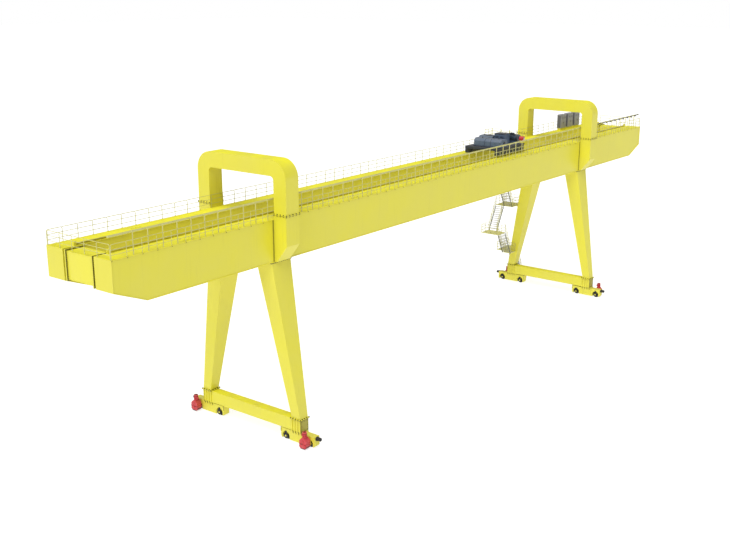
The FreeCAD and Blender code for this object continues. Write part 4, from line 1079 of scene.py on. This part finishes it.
    def brake(self):
        """The pale ringed face and the rims of the brake."""
        low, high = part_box("hoist_brake")
        x, z = (low.x + high.x) / 2, (low.z + high.z) / 2
        machined_face("Brake disc face", (0.72, 0.70, 0.68), (x, low.y, z), 1)
        disc = bmesh.new()
        add_turned(disc, [(0, 0), (0.062, 0), (0.066, 0.004), (0.066, 0.012), (0, 0.012)], (x, low.y, z),
                   (0, -1, 0), 28)
        finish_piece(disc, "brake_disc_face", "Brake disc face", TROLLEY, smooth=True)
        rim = bmesh.new()
        for y in (low.y + 0.02, (low.y + high.y) / 2, high.y - 0.02):
            add_turned(rim, ring(0.100, 0.114, -0.012, 0.012), (x, y, z),
                       (0, 1, 0), 28)
        finish_piece(rim, "brake_rims", "Drive paint", TROLLEY, smooth=True)

    def frame_details(self, dark, bolts):
        """Axle covers and deck edges on the trolley's frame."""
        low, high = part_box("trolley_frame")
        wheel_low, wheel_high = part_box("trolley_wheels")
        rail_y = abs(wheel_low.y + 0.045)
        half_base = (wheel_high.x - wheel_low.x) / 2 - 0.105
        middle = (wheel_low.x + wheel_high.x) / 2
        z = (wheel_low.z + wheel_high.z) / 2
        for end in (-1, 1):
            for side in (-1, 1):
                x = middle + end * half_base
                for way in (-1, 1):
                    y = side * rail_y + way * 0.085
                    add_turned(dark, [(0, 0), (0.062, 0), (0.062, 0.014), (0.03, 0.024), (0, 0.024)],
                               (x, y, z), (0, way, 0), 20)
                    add_bolt_circle(bolts, (x, y + way * 0.014, z), (0, way, 0), 0.048, 5, 0.007)
        deck = high.z
        add_block(dark, (low.x + 0.07, low.y, deck - 0.030), (high.x - 0.07, low.y + 0.012, deck - 0.0125))
        add_block(dark, (low.x + 0.07, high.y - 0.012, deck - 0.030), (high.x - 0.07, high.y, deck - 0.0125))


class CRANE_OT_cabinets(bpy.types.Operator):
    """Hang doors with handles and louvres on the electrical cabinets, and dark sheets on their sides as painted
    shade in the gaps between them
    """

    bl_idname = "crane.cabinets"
    bl_label = "Cabinets"

    def execute(self, context):
        low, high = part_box("electrical_cabinets")
        count, width = 3, 0.60
        plinth, inset = 0.140, 0.030
        pitch = (high.x - low.x - width) / (count - 1)
        skirts, grey, dark = new_meshes(3)
        for i in range(count):
            x0 = low.x + i * pitch
            for y, way in ((low.y, -1), (high.y, 1)):
                for k in range(2):
                    left = x0 + 0.012 + k * 0.291
                    add_block(grey, (left, y, low.z + plinth + 0.02),
                              (left + 0.285, y + way * 0.010, high.z - 0.03), 0.003)
                    for j in range(6):
                        z = high.z - 0.13 - j * 0.018
                        add_block(dark, (left + 0.06, y, z), (left + 0.23, y + way * 0.014, z + 0.007))
                    handle_x = left + (0.262 if k == 0 else 0.022)
                    add_rod(dark, (handle_x, y + way * 0.022, low.z + 0.40),
                            (handle_x, y + way * 0.022, low.z + 0.50), 0.007, 8)
                    for z in (low.z + 0.41, low.z + 0.49):
                        add_rod(dark, (handle_x, y, z), (handle_x, y + way * 0.022, z), 0.005, 6)
            add_block(grey, (x0 - 0.015, low.y - 0.015, high.z - 0.012),
                      (x0 + width + 0.015, high.y + 0.015, high.z + 0.012), 0.004)
            # Dark sheets on each cabinet's sides: painted shade in the narrow gaps between the cabinets.
            for x, way in ((x0, -1), (x0 + width, 1)):
                add_block(dark, (x, low.y + 0.025, low.z + plinth + 0.03),
                          (x + way * 0.008, high.y - 0.025, high.z - 0.04), 0.002)
            add_block(skirts, (x0 + inset - 0.010, low.y + inset - 0.010, low.z),
                      (x0 + width - inset + 0.010, high.y - inset + 0.010, low.z + plinth - 0.001), 0.003)
        finish_piece(grey, "cabinet_doors", "Cabinet paint", CRANE)
        finish_piece(dark, "cabinet_fittings_and_side_shade", "Dark cabinet paint", CRANE)
        finish_piece(skirts, "cabinet_plinths", "Crane paint", CRANE)
        return {"FINISHED"}


class CRANE_OT_wheels(bpy.types.Operator):
    """Fit a keeper to the ends of each travel wheel's axle"""

    bl_idname = "crane.wheels"
    bl_label = "Wheel fittings"

    def execute(self, context):
        for portal in PORTALS:
            for side in SIDES:
                for position in ("inner", "outer"):
                    self.wheel(f"{portal}_{side}_{position}_wheel")
        return {"FINISHED"}

    def wheel(self, name):
        """The keeper plates of one axle."""
        low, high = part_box(name)
        x, y, z = ((low + high) / 2)
        keeper = bmesh.new()
        outward = 1 if x > 0 else -1
        for end, way in ((low.x, -1), (high.x, 1)):
            if "outer" in name and way == outward:
                continue
            add_block(keeper, (end, y - 0.024, z - 0.010), (end + way * 0.006, y + 0.024, z + 0.010), 0.0015)
            for dy in (-0.015, 0.015):
                add_bolt(keeper, (end + way * 0.006, y + dy, z), (way, 0, 0), 0.0055)
        finish_piece(keeper, name + "_keeper", "Bright steel", name + "_set")


class CRANE_OT_stage(bpy.types.Operator):
    """Lay the pale floor, hang the lights and set the camera"""

    bl_idname = "crane.stage"
    bl_label = "Studio"

    def execute(self, context):
        scene = context.scene
        bm = bmesh.new()
        bmesh.ops.create_grid(bm, x_segments=1, y_segments=1, size=FLOOR_HALF_SIZE)
        mesh = bpy.data.meshes.new("floor")
        bm.to_mesh(mesh)
        bm.free()
        floor = bpy.data.objects.new("floor", mesh)
        scene.collection.objects.link(floor)
        shader = new_material("Pale floor")[1]
        shader.inputs["Base Color"].default_value = (0.4, 0.4, 0.4, 1)
        shader.inputs["Roughness"].default_value = 0.9
        shader.inputs["Specular IOR Level"].default_value = 0.1
        shader.inputs["Emission Color"].default_value = (1, 1, 1, 1)
        shader.inputs["Emission Strength"].default_value = 0.8
        mesh.materials.append(bpy.data.materials["Pale floor"])
        world = bpy.data.worlds.new("Studio")
        world.use_nodes = True
        sky = world.node_tree.nodes["Background"]
        sky.inputs["Color"].default_value = (1.0, 1.0, 1.0, 1)
        seen = add_node(world.node_tree, "ShaderNodeLightPath").outputs["Is Camera Ray"]
        world.node_tree.links.new(spread(world.node_tree, seen, 0, 1, SKY_STRENGTH, 1.0), sky.inputs["Strength"])
        scene.world = world
        lamp = bpy.data.lights.new("key_light", "SUN")
        lamp.energy = SUN_STRENGTH
        lamp.angle = SUN_ANGLE
        light = bpy.data.objects.new("key_light", lamp)
        light.rotation_mode = "QUATERNION"
        light.rotation_quaternion = Vector(SUN_SIDE).to_track_quat("Z", "Y")
        scene.collection.objects.link(light)
        scene.view_settings.view_transform = "Standard"
        camera = bpy.data.objects.new("camera", bpy.data.cameras.new("camera"))
        camera.data.lens = CAMERA_LENS
        camera.data.sensor_width = CAMERA_SENSOR
        camera.data.clip_start = 1.0
        camera.data.clip_end = 1500.0
        camera.location = CAMERA_PLACE
        camera.rotation_mode = "QUATERNION"
        aim = Vector(CAMERA_AIM).normalized()
        camera.rotation_quaternion = aim.to_track_quat("-Z", "Y")
        scene.collection.objects.link(camera)
        scene.camera = camera
        return {"FINISHED"}


OPERATORS = (
    CRANE_OT_paint, CRANE_OT_railings, CRANE_OT_joint_bolts, CRANE_OT_girder_fittings, CRANE_OT_bogies,
    CRANE_OT_travel_drives, CRANE_OT_trolley, CRANE_OT_cabinets, CRANE_OT_wheels, CRANE_OT_stage,
)


class CRANE_PT_panel(bpy.types.Panel):
    """The crane's sizes, colours and building steps"""

    bl_label = "Gantry crane"
    bl_idname = "CRANE_PT_panel"
    bl_space_type = "VIEW_3D"
    bl_region_type = "UI"
    bl_category = "Crane"

    def draw(self, context):
        look = context.scene.crane_settings
        for name in ("paint", "paint_faded", "machine_paint", "drive_paint", "cabinet_paint", "rail_tube",
                     "rail_bend", "bolt_head", "plate_pitch"):
            self.layout.prop(look, name)
        for operator in OPERATORS:
            self.layout.operator(operator.bl_idname)


CLASSES = (CraneSettings, *OPERATORS, CRANE_PT_panel)


def register():
    """Make the settings, steps and panel known."""
    for cls in CLASSES:
        bpy.utils.register_class(cls)
    bpy.types.Scene.crane_settings = bpy.props.PointerProperty(type=CraneSettings)


def unregister():
    """Take the settings, steps and panel away."""
    del bpy.types.Scene.crane_settings
    for cls in reversed(CLASSES):
        bpy.utils.unregister_class(cls)


def main():
    """Build every piece."""
    register()
    bpy.ops.crane.paint()
    bpy.ops.crane.railings()
    bpy.ops.crane.joint_bolts()
    bpy.ops.crane.girder_fittings()
    bpy.ops.crane.bogies()
    bpy.ops.crane.travel_drives()
    bpy.ops.crane.trolley()
    bpy.ops.crane.cabinets()
    bpy.ops.crane.wheels()
    bpy.ops.crane.stage()


if __name__ == "__main__":
    main()
